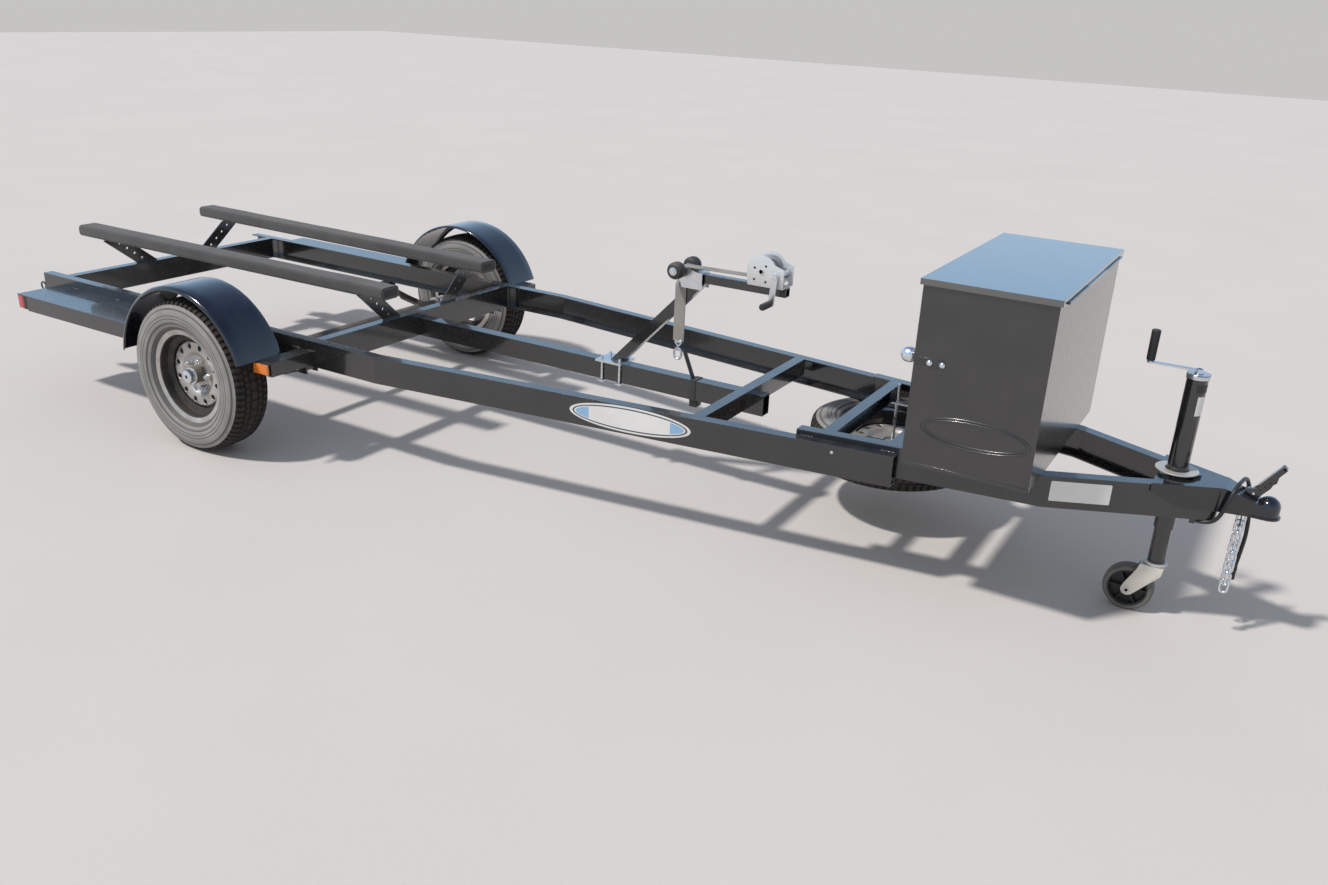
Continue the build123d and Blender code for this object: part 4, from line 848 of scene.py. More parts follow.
@dataclass
class Studio:
    """Camera, floor and lights. The camera's place and turn were solved from the picture."""

    eye: Point = (2.4551, -3.4810, 1.7490)
    yaw: float = 0.523004
    pitch: float = 0.379649
    roll: float = -0.0462509
    lens: float = 30.41
    sensor: float = 36.0
    floor_half: float = 30.0
    floor_tone: Point = (0.66, 0.630, 0.615)
    plain_sky: tuple[tuple[float, Point], ...] = (
        (0.0, (0.90, 0.89, 0.88)), (0.3, (0.76, 0.78, 0.81)), (0.9, (0.50, 0.56, 0.66)))
    clear_sky: tuple[tuple[float, Point], ...] = (
        (0.0, (1.05, 1.20, 1.42)), (0.22, (0.78, 1.16, 1.60)), (0.85, (0.12, 0.25, 0.60)))
    sky_strength: float = 0.62
    sun_energy: float = 2.6
    sun_from: Point = (-0.42, -0.55, 1.0)
    sun_spread: float = 4.0
    sun_tone: Point = (1.0, 0.96, 0.90)

    def camera(self) -> None:
        """Set the camera up."""
        data = bpy.data.cameras.new("camera")
        data.lens = self.lens
        data.sensor_width = self.sensor
        data.sensor_fit = "HORIZONTAL"
        data.clip_end = 200.0
        forward = Vector((-sin(self.yaw) * cos(self.pitch), cos(self.yaw) * cos(self.pitch),
                          -sin(self.pitch)))
        level = Vector((cos(self.yaw), sin(self.yaw), 0.0))
        down = forward.cross(level)
        right = level * cos(self.roll) + down * sin(self.roll)
        below = down * cos(self.roll) - level * sin(self.roll)
        turn = Matrix((right, -below, -forward)).transposed().to_4x4()
        made = stand("camera", data)
        made.matrix_world = Matrix.Translation(self.eye) @ turn
        bpy.context.scene.camera = made

    def floor(self) -> None:
        """Lay the pale floor."""
        material = bpy.data.materials.new("floor")
        bench = NodeBench(material, SURFACE)
        where = bench.place()
        fine = bench.span(bench.noise(where, 90.0, 3.0), 0.3, 0.7)
        wide = bench.span(bench.noise(where, 0.8, 3.0), 0.35, 0.65)
        tone = bench.mix(bench.times(fine, 0.5), self.floor_tone,
                         tuple(0.93 * c for c in self.floor_tone))
        tone = bench.mix(bench.times(wide, 0.5), tone,
                         tuple(1.04 * c for c in self.floor_tone))
        bench.give(Base_Color=tone, Roughness=0.9)
        mesh = bpy.data.meshes.new("floor")
        bm = bmesh.new()
        bmesh.ops.create_grid(bm, x_segments=1, y_segments=1, size=self.floor_half)
        bm.to_mesh(mesh)
        bm.free()
        mesh.materials.append(material)
        stand("floor", mesh)

    def lights(self) -> None:
        """Light the scene: a pale sky, bluer where gloss mirrors it, and a soft sun."""
        world = bpy.data.worlds.new("sky")
        bpy.context.scene.world = world
        bench = NodeBench(world, "Background")
        where = bench.add("TexCoord", {}, "Generated")
        height = bench.add("SeparateXYZ", {0: where}, "Z")
        ramps = []
        for tones in (self.plain_sky, self.clear_sky):
            ramp = bench.add("ValToRGB", {"Fac": height}, "Color")
            ramp.node.color_ramp.elements.new(0.25)
            for stop, (level, tone) in zip(ramp.node.color_ramp.elements, tones):
                stop.position = level
                stop.color = (*tone, 1.0)
            ramps.append(ramp)
        glossy = bench.add("LightPath", {}, "Is Glossy Ray")
        bench.give(Color=bench.mix(glossy, *ramps), Strength=self.sky_strength)
        sun = bpy.data.lights.new("sun", "SUN")
        sun.energy = self.sun_energy
        sun.angle = radians(self.sun_spread)
        sun.color = self.sun_tone
        made = stand("sun", sun)
        made.rotation_euler = Vector(self.sun_from).to_track_quat("Z", "Y").to_euler()

    def build(self) -> None:
        """Set up camera, floor and lights, and the plain view transform."""
        self.camera()
        self.floor()
        self.lights()
        bpy.context.scene.view_settings.view_transform = "Standard"


# Wiring


@dataclass
class WiringLead:
    """The trailer's lead, out of its clip, over the coupler's neck and down to its plug.

    Its route is in metres in the part's frame.
    """

    radius: float = 6.0
    length: float = 0.584
    plug: Point = (24.0, 12.0, 44.0)
    plug_spot: Point = (3628.0, 65.0, 202.0)
    route: tuple[Point, ...] = (
        (2.313, -0.0560, 0.3660), (2.344, -0.0570, 0.3665), (2.369, -0.0630, 0.3860),
        (2.382, -0.0700, 0.4280), (2.391, -0.0720, 0.4720), (2.400, -0.0460, 0.4980),
        (2.408, 0.0000, 0.5000), (2.416, 0.0460, 0.4960), (2.426, 0.0710, 0.4700),
        (2.438, 0.0720, 0.4200), (2.448, 0.0700, 0.3640), (2.452, 0.0680, 0.3080),
        (2.449, 0.0660, 0.2520), (2.445, 0.0650, 0.2020))

    def cable(self) -> bpy.types.Object:
        """The lead as a smooth curve through its route.

        Returns:
            The curve.
        """
        curve = bpy.data.curves.new("lead", "CURVE")
        curve.dimensions = "3D"
        curve.bevel_depth = self.radius * METRE
        curve.bevel_resolution = 4
        curve.resolution_u = 10
        curve.use_fill_caps = True
        spline = curve.splines.new("NURBS")
        spline.points.add(len(self.route) - 1)
        for knot, place in zip(spline.points, self.route):
            knot.co = (*place, 1.0)
        spline.order_u = 3
        spline.use_endpoint_u = True
        curve.materials.append(LEAD_BLACK.make())
        made = stand("lead", curve)
        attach(made, Body.FRAME.value)
        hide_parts("wiring_lead")
        return made

    def plug_body(self) -> bpy.types.Object:
        """The flat four-way plug with its ribs, boot and pins.

        Returns:
            The plug.
        """
        piece = Workpiece("lead_plug", LEAD_BLACK, ZINC)
        width, thick, length = self.plug
        x0, y0, z0 = self.plug_spot
        piece.block((x0, y0, z0 - length * 0.62), (thick, width, length * 0.72), 3.0, 3)
        piece.rod((x0, y0, z0 + 1.0), (x0, y0, z0 - 14.0), self.radius + 0.6, 20, 8.0, bevel=0.8)
        for i in range(5):
            z = z0 - 22.0 - i * 4.0
            piece.block((x0, y0, z), (thick + 1.0, width - 5.0, 1.6), 0.5, 1)
        piece.slot = 1
        for i in range(3):
            y = y0 - 7.5 + i * 5.0
            piece.rod((x0, y, z0 - length + 3.0), (x0, y, z0 - length - 1.0), 1.6, 10, bevel=0.4)
        return piece.finish(("wiring_plug",))

    def build(self) -> None:
        plug = self.plug_body()
        lead = self.cable()


# Wheels


@dataclass
class RoadWheel:
    """A 13-inch steel wheel with its tyre."""

    name: str
    centre: Point
    axis: Axis
    way: int
    body: Body
    tyre_node: str
    rim_node: str
    radius: float = 302.0
    steps: int = 144
    rim_steps: int = 96
    tread_half: float = 66.0
    groove_depth: float = 7.0
    tread_low: float = 286.0
    blocks_low: float = 280.0
    bead_high: float = 199.0
    shade_high: float = 171.0
    vents: int = 12
    vent_circle: float = 112.0
    vent_radius: float = 12.5
    disc_out: float = 18.6
    rings: tuple[Pair, ...] = ((209.0, 216.0), (230.0, 232.5), (242.0, 244.5), (266.0, 272.0))

    def tyre_outline(self) -> list[Pair]:
        """The tyre's section as (along, radius) points, from bead to bead and back inside.

        Returns:
            The closed outline.
        """
        half: list[Pair] = [(0.0, self.radius)]
        for low, high in ((13.0, 19.0), (37.0, 43.0)):
            crown = self.radius - 4.5 * (low / self.tread_half) ** 2
            half += [(low, crown), (low + 1.0, crown - self.groove_depth),
                     (high - 1.0, crown - self.groove_depth), (high, crown - 0.4)]
        half += [(56.0, 298.0), (63.0, 296.0), (69.0, 292.0), (74.0, 284.0), (78.5, 272.0),
                 (80.5, 270.5), (82.5, 266.0), (85.6, 255.0), (87.4, 245.0), (86.9, 243.5),
                 (87.5, 241.5), (87.4, 233.0), (86.8, 231.5), (87.1, 229.5), (84.6, 217.0),
                 (82.4, 214.0), (81.6, 210.0), (76.0, 199.0), (70.5, 192.5), (69.0, 189.0),
                 (64.0, 185.5), (58.0, 183.2), (57.0, 182.8), (57.0, 165.2)]
        mirror = [(-along, radius) for along, radius in half[1:]]
        inside = [(46.0, 165.2), (46.0, 180.0), (70.0, 205.0), (76.0, 244.0), (64.0, 272.0),
                  (50.0, 283.0)]
        back = [(-along, radius) for along, radius in inside]
        return mirror[::-1] + half + inside + back[::-1]

    def tyre(self) -> None:
        """The tyre with its grooves, tread blocks and shoulder notches."""
        piece = Workpiece(f"tyre_dressed_{self.name}", SIDEWALL, TREAD_RUBBER, SIDEWALL_RING,
                          body=self.body)
        piece.spun(self.tyre_outline(), self.centre, self.axis, self.steps)
        line, hub = Vector(self.axis.value), Vector(self.centre)
        across = Vector((1, 0, 0))
        upright = line.cross(across)
        shoulder: Faces = []
        crown: Faces = []
        for face in piece.bm.faces:
            spot = face.calc_center_median() - hub
            along = abs(spot.dot(line))
            flat = spot - line * spot.dot(line)
            if flat.length > self.tread_low:
                face.material_index = 1
            elif (flat.length < self.bead_high
                  or any(low < flat.length < high for low, high in self.rings)):
                face.material_index = 2
            turn = atan2(flat.dot(upright), flat.dot(across)) / (2 * pi) * self.steps
            cell = int(turn + self.steps) % self.steps
            if flat.length < self.blocks_low or face.normal.dot(flat) < 0.5 * flat.length:
                continue
            if (44.0 < along < 62.0 or 65.0 < along < 73.0) and cell % 2 == 0:
                shoulder.append(face)
            elif (20.0 < along < 36.0 and cell % 2 == 1) or (along < 12.0 and cell % 3 == 0):
                crown.append(face)
        for faces, edge, deep in ((shoulder, 2.6, -5.0), (crown, 3.4, -4.0)):
            bmesh.ops.inset_individual(piece.bm, faces=faces, thickness=edge, depth=deep)
        piece.finish((self.tyre_node,), "tyre_rubber", smooth=38.0)

    def rim(self) -> None:
        """The rim with its rolled flanges, dished disc and round vents."""
        piece = Workpiece(f"rim_dressed_{self.name}", RIM_SILVER, HOLE_SHADE, RIM_SHADE,
                          body=self.body)
        barrel = [(57.0, 182.0), (59.0, 185.5), (62.0, 187.0), (64.0, 185.0), (63.5, 181.0),
                  (60.5, 177.0), (60.0, 166.0), (57.0, 162.5), (28.0, 161.5), (25.0, 158.0),
                  (22.0, 140.0), (20.0, 137.5), (-20.0, 137.5), (-22.0, 140.0), (-26.0, 161.5),
                  (-62.0, 161.5), (-62.0, 182.0), (-57.0, 182.0), (-57.0, 165.0),
                  (-23.0, 165.0), (-19.0, 141.0), (19.0, 141.0), (23.0, 165.0), (57.0, 165.0)]
        line = Vector(self.axis.value)
        for face in piece.spun(barrel, self.centre, self.axis, self.rim_steps, way=self.way):
            spot = face.calc_center_median() - Vector(self.centre)
            if (spot - line * spot.dot(line)).length < self.shade_high:
                face.material_index = 2
        out = self.disc_out
        disc = [(4.5, 33.5), (4.5, 40.0), (4.5, 72.0), (7.0, 76.0), (13.0, 82.0), (17.5, 88.0),
                (out, 91.0), (out, 98.0), (out, self.vent_circle), (out, 126.0), (16.0, 129.0),
                (11.0, 130.5), (4.0, 132.0), (1.0, 137.2), (-4.0, 137.2), (1.0, 129.0),
                (11.0, 124.0), (14.0, 118.0), (14.0, 92.0), (4.0, 78.0), (0.5, 72.0),
                (0.5, 33.5)]
        piece.spun(disc, self.centre, self.axis, self.rim_steps, way=self.way)
        self.cut_vents(piece)
        piece.finish((self.rim_node,), smooth=40.0)

    def cut_vents(self, piece: Workpiece) -> None:
        """Sink the round vents into the disc's flat ring, with painted shade on their floors.

        Args:
            piece: the rim under work.
        """
        line = Vector(self.axis.value) * self.way
        across = Vector((self.vent_circle, 0, 0))
        for i in range(self.vents):
            turn = Matrix.Rotation(2 * pi * (i + 0.5) / self.vents, 3, line)
            middle = Vector(self.centre) + line * self.disc_out + turn @ across
            hit = min(piece.bm.verts, key=lambda vert: (vert.co - middle).length)
            face = bmesh.ops.dissolve_faces(piece.bm, faces=list(hit.link_faces))["region"][0]
            face.normal_update()
            centre = face.calc_center_median()
            for vert in face.verts:
                vert.co = centre + (vert.co - centre).normalized() * self.vent_radius
            bmesh.ops.inset_region(piece.bm, faces=[face], thickness=1.0, depth=-1.0)
            sunk = bmesh.ops.extrude_face_region(piece.bm, geom=[face])["geom"]
            bmesh.ops.translate(piece.bm, vec=line * -3.0,
                                verts=[g for g in sunk if isinstance(g, bmesh.types.BMVert)])
            # Painted shade on the vents' floors.
            for g in sunk:
                if isinstance(g, bmesh.types.BMFace):
                    g.material_index = 1
            bmesh.ops.delete(piece.bm, geom=[face], context="FACES_ONLY")

    def build(self) -> None:
        """Make the tyre and the rim."""
        self.tyre()
        self.rim()


@dataclass
class Hub:
    """A wheel's hub with its cap, studs and nuts."""

    name: str
    way: int
    body: Body
    track: float = HUB_Y
    height: float = HUB_Z
    stud_circle: float = 57.15
    studs: int = 5

    def build(self) -> None:
        """Make the hub."""
        piece = Workpiece(f"hub_dressed_{self.name}", ZINC, AXLE_STEEL, HOLE_SHADE, body=self.body)
        centre = (0.0, self.way * self.track, self.height)
        piece.slot = 1
        piece.spun([(-88.0, 17.6), (-88.0, 33.0), (-10.0, 33.0), (-10.0, 70.0), (0.0, 70.0),
                    (0.0, 33.0), (40.0, 33.0), (44.0, 31.0), (44.0, 17.6)],
                   centre, Axis.Y, 48, way=self.way)
        piece.slot = 0
        piece.spun([(40.0, 30.5), (42.0, 31.5), (46.0, 31.5), (47.0, 28.0), (62.0, 27.5),
                    (67.0, 25.5), (69.5, 21.0), (69.8, 9.0), (66.5, 7.5), (66.0, 0.5),
                    (62.0, 0.5), (44.0, 20.0)], centre, Axis.Y, 48, way=self.way)
        # Painted shade in the cap's centre hole.
        piece.slot = 2
        piece.rod((0, self.way * (self.track + 66.2), self.height),
                  (0, self.way * (self.track + 67.0), self.height), 7.0, 20)
        piece.slot = 0
        for i in range(self.studs):
            turn = 2 * pi * i / self.studs
            x = self.stud_circle * cos(turn)
            z = self.height + self.stud_circle * sin(turn)
            y = self.way * (self.track + 4.5)
            piece.rod((x, y, z), (x, y + self.way * 6.0, z), 9.5, 20, 11.0)
            piece.nut((x, y + self.way * 6.0, z), (0, self.way, 0), 19.0, 15.0, stud=6.0,
                      stud_up=7.0)
        piece.finish((f"hub_{self.name}",), smooth=30.0)


# Fenders and lamps


@dataclass
class Fender:
    """A round fender with its rolled outer edge."""

    name: str
    way: int
    radius: float = 357.0
    inner_y: float = 692.0
    outer_y: float = 896.0
    front_deg: float = 19.0
    rear_deg: float = 172.0
    sheet: float = 3.0

    def build(self) -> None:
        """Make the fender."""
        piece = Workpiece(f"fender_dressed_{self.name}", FENDER_PAINT)
        r, y0, y1 = self.radius, self.inner_y, self.outer_y
        line = [(y0, r - 9.0), (y0 + 0.6, r - 4.0), (y0 + 3.0, r - 1.2), (y0 + 8.0, r - 0.3)]
        line += [(y0 + 30.0 + i * 24.0, r) for i in range(6)]
        line += [(y1 - 14.4, r - 0.4), (y1 - 8.0, r - 2.4), (y1 - 3.0, r - 6.4),
                 (y1 - 0.4, r - 11.0), (y1, r - 16.0)]
        thick = self.sheet
        inner = [(y1 - thick, r - 16.0), (y1 - thick - 0.4, r - 12.0), (y1 - 6.0, r - 8.4),
                 (y1 - 12.0, r - thick - 1.0), (y1 - 20.0, r - thick), (y0 + 30.0, r - thick),
                 (y0 + 8.0, r - thick - 0.3), (y0 + 4.0, r - thick - 1.0),
                 (y0 + thick, r - 9.0)]
        span = self.rear_deg - self.front_deg
        piece.spun(line + inner, (0, 0, HUB_Z), Axis.Y, 72, -self.front_deg, -span,
                   way=self.way)
        rims = [e for e in piece.bm.edges if e.is_boundary]
        bmesh.ops.holes_fill(piece.bm, edges=rims, sides=0)
        bmesh.ops.recalc_face_normals(piece.bm, faces=piece.bm.faces)
        piece.finish((f"fender_{self.name}",), smooth=45.0)


@dataclass
class Lamps:
    """Tail lamps behind the steps and amber markers on the front brackets."""

    step_rear: float = -1187.0
    step_top: float = 416.0
    edge_y: float = 806.0
    marker_z: float = 393.0
    tail: Point = (66.0, 150.0, 58.0)

    def tails(self) -> None:
        """The tail lamps: a black base with a red lens wrapped round the corner."""
        base = Workpiece("tail_lamp_bases", LAMP_BLACK, ZINC)
        lens = Workpiece("tail_lamp_lenses", RED, LAMP_BLACK)
        length, width, height = self.tail
        for _, way in SIDES:
            x0, z = self.step_rear, self.step_top - height / 2
            y = way * (self.edge_y - width / 2)
            base.slot = 0
            base.block((x0 + length * 0.78, y, z), (length * 0.42, width - 1.0, height - 1.0), 2.0)
            lens.slot = 0
            lens.block((x0 + length * 0.30, y, z), (length * 0.58, width, height), 5.0, 4)
            lens.block((x0 + length * 0.62, y, z), (3.0, width, height), 1.0)
            lens.slot = 1
            lens.block((x0 + length * 0.30, y - way * 32.0, z),
                       (length * 0.585, 2.0, height + 0.2), 0.4)
            base.slot = 1
            for off in (-width * 0.36, width * 0.10):
                base.nut((x0 + 0.5, y + way * off, z), (-1, 0, 0), 4.0, 0.4)
        base.finish()
        lens.finish(("tail_lamps",))

    def markers(self) -> None:
        """The amber side markers in their dark frames."""
        rim = Workpiece("marker_lamp_rims", LAMP_BLACK)
        lens = Workpiece("marker_lamp_lenses", AMBER)
        for _, way in SIDES:
            y = way * self.edge_y
            rim.block((357.0, y + way * 3.0, self.marker_z), (84.0, 6.0, 44.0), 2.0, 3)
            lens.block((360.0, y + way * 8.6, self.marker_z), (76.0, 10.8, 39.0), 3.5, 4)
        rim.finish()
        lens.finish(("marker_lamps",))

    def build(self) -> None:
        """Make both kinds of lamp."""
        self.tails()
        self.markers()


# Bunks


@dataclass
class Bunk:
    """A board wrapped in carpet, folded over at its ends, with painted shade on the front end."""

    name: str
    way: int
    rear: Point = (-1345.0, 332.0, 611.0)
    front: Point = (530.0, 303.0, 611.0)
    width: float = 98.0
    thick: float = 50.0
    corner: float = 17.0
    cells: int = 80

    def build(self) -> None:
        """Make the bunk."""
        piece = Workpiece(f"bunk_carpet_{self.name}", CARPET, CARPET_PAINTED_SHADE)
        a = Vector((self.rear[0], self.way * self.rear[1], self.rear[2]))
        b = Vector((self.front[0], self.way * self.front[1], self.front[2]))
        length = (b - a).length
        made = bmesh.ops.create_cube(piece.bm, size=1.0)["verts"]
        bmesh.ops.scale(piece.bm, vec=(length, self.width, self.thick), verts=made)

        def long_edges() -> list[bmesh.types.BMEdge]:
            """The edges that run the length of the board."""
            return [e for e in piece.bm.edges
                    if abs(e.verts[0].co.x - e.verts[1].co.x) > length / 2]

        piece.soften(long_edges(), self.corner, 6)
        bmesh.ops.subdivide_edges(piece.bm, edges=long_edges(), cuts=self.cells,
                                  use_grid_fill=False)
        for face in [f for f in piece.bm.faces if abs(f.normal.x) > 0.9]:
            front = face.normal.x > 0
            for inward, out in ((5.0, 2.0), (7.0, 1.0)):
                bmesh.ops.inset_region(piece.bm, faces=[face], thickness=inward, depth=out)
            # The front end takes the pile with painted shade; the rear end keeps the plain pile.
            face.material_index = 1 if front else 0
        rng = random.Random(7 + self.way)
        waves = [(rng.uniform(0.004, 0.02), rng.uniform(0, 6.3), rng.uniform(0.1, 0.35))
                 for _ in range(5)]
        for vert in piece.bm.verts:
            lean = sum(high * sin(vert.co.x * rate + phase + vert.co.y * 0.03)
                       for rate, phase, high in waves)
            vert.co.z += lean if vert.co.z > 0 and abs(vert.co.x) < length / 2 - 1 else 0.0
            vert.co.z = min(vert.co.z, self.thick / 2)
        turn = Vector((1, 0, 0)).rotation_difference(b - a).to_matrix().to_4x4()
        bmesh.ops.transform(piece.bm, matrix=Matrix.Translation((a + b) / 2) @ turn,
                            verts=piece.bm.verts)
        bmesh.ops.recalc_face_normals(piece.bm, faces=piece.bm.faces)
        piece.finish(("bunks",), smooth=50.0)


# Winch stand


@dataclass
class BowStop:
    """The two rubber rollers of the bow stop, with their washers and nuts."""

    x: float = ROLLER_X
    z: float = ROLLER_Z
    radius: float = 31.0
    length: float = 46.0
    middle_y: float = 58.0

    def build(self) -> None:
        """Make the rollers and the ends of their shaft."""
        piece = Workpiece("bow_roller_rubber", ROLLER_RUBBER, ZINC, body=Body.ROLLERS)
        ends = Workpiece("roller_shaft_nuts", ZINC)
        half = self.length / 2
        r = self.radius
        outline = mirrored([(-half, 8.06), (-half, 20.0), (-half + 2.0, 24.5),
                            (-half + 5.5, 28.5), (-half + 10.0, r - 0.6), (-5.0, r),
                            (-3.5, r - 2.0)])
        for _, way in SIDES:
            piece.spun(outline, (self.x, way * self.middle_y, self.z), Axis.Y, 56, way=way)
            y = way * (self.middle_y + half)
            ends.rod((self.x, y + way * 0.6, self.z), (self.x, y + way * 3.0, self.z), 15.0, 32,
                     bevel=0.5)
            ends.nut((self.x, y + way * 3.0, self.z), (0, way, 0), 19.0, 4.9)
        piece.finish(("bow_rollers",))
        ends.finish()


@dataclass
class Winch:
    """The plated hand winch: cheeks, drum, gear, crank and grip."""

    x: float = DRUM_X
    z: float = DRUM_Z
    cheek_radius: float = 56.0
    half: float = 42.0
    sheet: float = 4.0
    foot: float = 830.0
    crank_x: float = 2070.0
    drop: float = 8.0

    def cheek_outline(self, y: float) -> list[Point]:
        """The cheek's outline at one y: a round back over a flat foot.

        Args:
            y: where the cheek's face is.

        Returns:
            The corners.
        """
        x, z, r = self.x, self.z, self.cheek_radius
        line = [(x - 50.0, y, self.foot), (x + 84.0, y, self.foot), (x + 84.0, y, z + 16.0)]
        for i in range(25):
            turn = radians(30.0 + i * 155.0 / 24)
            line.append((x + r * cos(turn), y, z + r * sin(turn)))
        return line

    def frame(self) -> None:
        """The cheeks, their holes as discs of painted shade, the foot, the shafts and their nuts."""
        piece = Workpiece("winch_cheeks", WHITE_ZINC, HOLE_SHADE)
        x, z = self.x, self.z
        for _, way in SIDES:
            piece.slot = 0
            y = way * self.half
            piece.plate(self.cheek_outline(y), (0.0, -way * self.sheet, 0.0), 0.8)
            # Painted shade: thin dark discs stand for the holes in the cheek.
            piece.slot = 1
            for dx, dz in ((-26.0, 10.0), (-26.0, -30.0), (18.0, -34.0), (16.0, 20.0)):
                piece.rod((x + dx, y - way * 0.4, z + dz), (x + dx, y + way * 0.25, z + dz), 4.2, 18)
            piece.slot = 0
            piece.nut((x, y, z), (0, way, 0), 17.0, 4.0)
        piece.block((x + 17.0, 0.0, self.foot + 2.0), (133.0, 2 * self.half - 1.0, 4.0), 1.0)
        piece.rod((x, -self.half - 4.0, z), (x, self.half + 4.0, z), 8.0, 24, bevel=0.8)
        piece.rod((self.crank_x, -self.half - 14.0, z - self.drop),
                  (self.crank_x, self.half + 4.0, z - self.drop), 9.0, 24, bevel=0.8)
        for dx in (-30.0, 60.0):
            piece.nut((x + dx, 0.0, self.foot + 4.0), (0, 0, 1), 13.0, 6.0, 10.0)
        piece.finish(("winch_frame",), "plated_steel")

    def gears(self) -> None:
        """The gear on the drum and the pinion on the crank's shaft."""
        piece = Workpiece("winch_gears", ZINC)
        for x, z, radius, teeth in ((self.x, self.z, 44.0, 36),
                                    (self.crank_x, self.z - self.drop, 13.0, 10)):
            y0, y1 = self.half - 10.0, self.half - 5.0
            rim = [f for f in piece.rod((x, y0, z), (x, y1, z), radius, teeth * 2)
                   if len(f.verts) == 4]
            rim.sort(key=lambda f: atan2(f.calc_center_median().z - z,
                                         f.calc_center_median().x - x))
            bmesh.ops.inset_individual(piece.bm, faces=rim[::2], thickness=0.4, depth=4.0)
        for i in range(6):
            x, z = self.x + 26 * cos(pi / 3 * i), self.z + 26 * sin(pi / 3 * i)
            piece.rod((x, self.half - 10.6, z), (x, self.half - 4.4, z), 6.0, 16)
        piece.finish()

    def crank(self) -> None:
        """The crank's arm and its grip."""
        piece = Workpiece("winch_crank_arm", ZINC, GRIP)
        x, y, low = self.crank_x, -self.half - 17.0, self.z - 112.0
        arm = [(x - 11.0, y - 3.0, self.z + 6.0), (x + 11.0, y - 3.0, self.z + 6.0),
               (x + 2.0, y - 3.0, low), (x - 20.0, y - 3.0, low)]
        piece.plate(arm, (0.0, 6.0, 0.0), 1.0, corner=9.0)
        piece.nut((x, y - 3.0, self.z - self.drop), (0, -1, 0), 17.0, 3.0)
        gx, gz = x - 9.0, low + 12.0
        piece.rod((gx, y + 1.0, gz), (gx, y - 12.0, gz), 5.5, 20)
        piece.slot = 1
        outline = [(6.0, 5.0), (6.0, 9.5), (9.0, 11.5)]
        for i in range(9):
            along = 13.0 + i * 5.6
            outline += [(along, 12.0), (along + 2.4, 12.0), (along + 3.2, 11.0),
                        (along + 4.8, 11.0)]
        outline += [(65.0, 12.0), (69.0, 10.5), (71.0, 6.0), (71.0, 0.5), (60.0, 0.5)]
        piece.spun(outline, (gx, y, gz), Axis.Y, 28, way=-1)
        piece.finish(("winch_crank",))

    def build(self) -> None:
        """Make the winch."""
        self.frame()
        self.gears()
        self.crank()


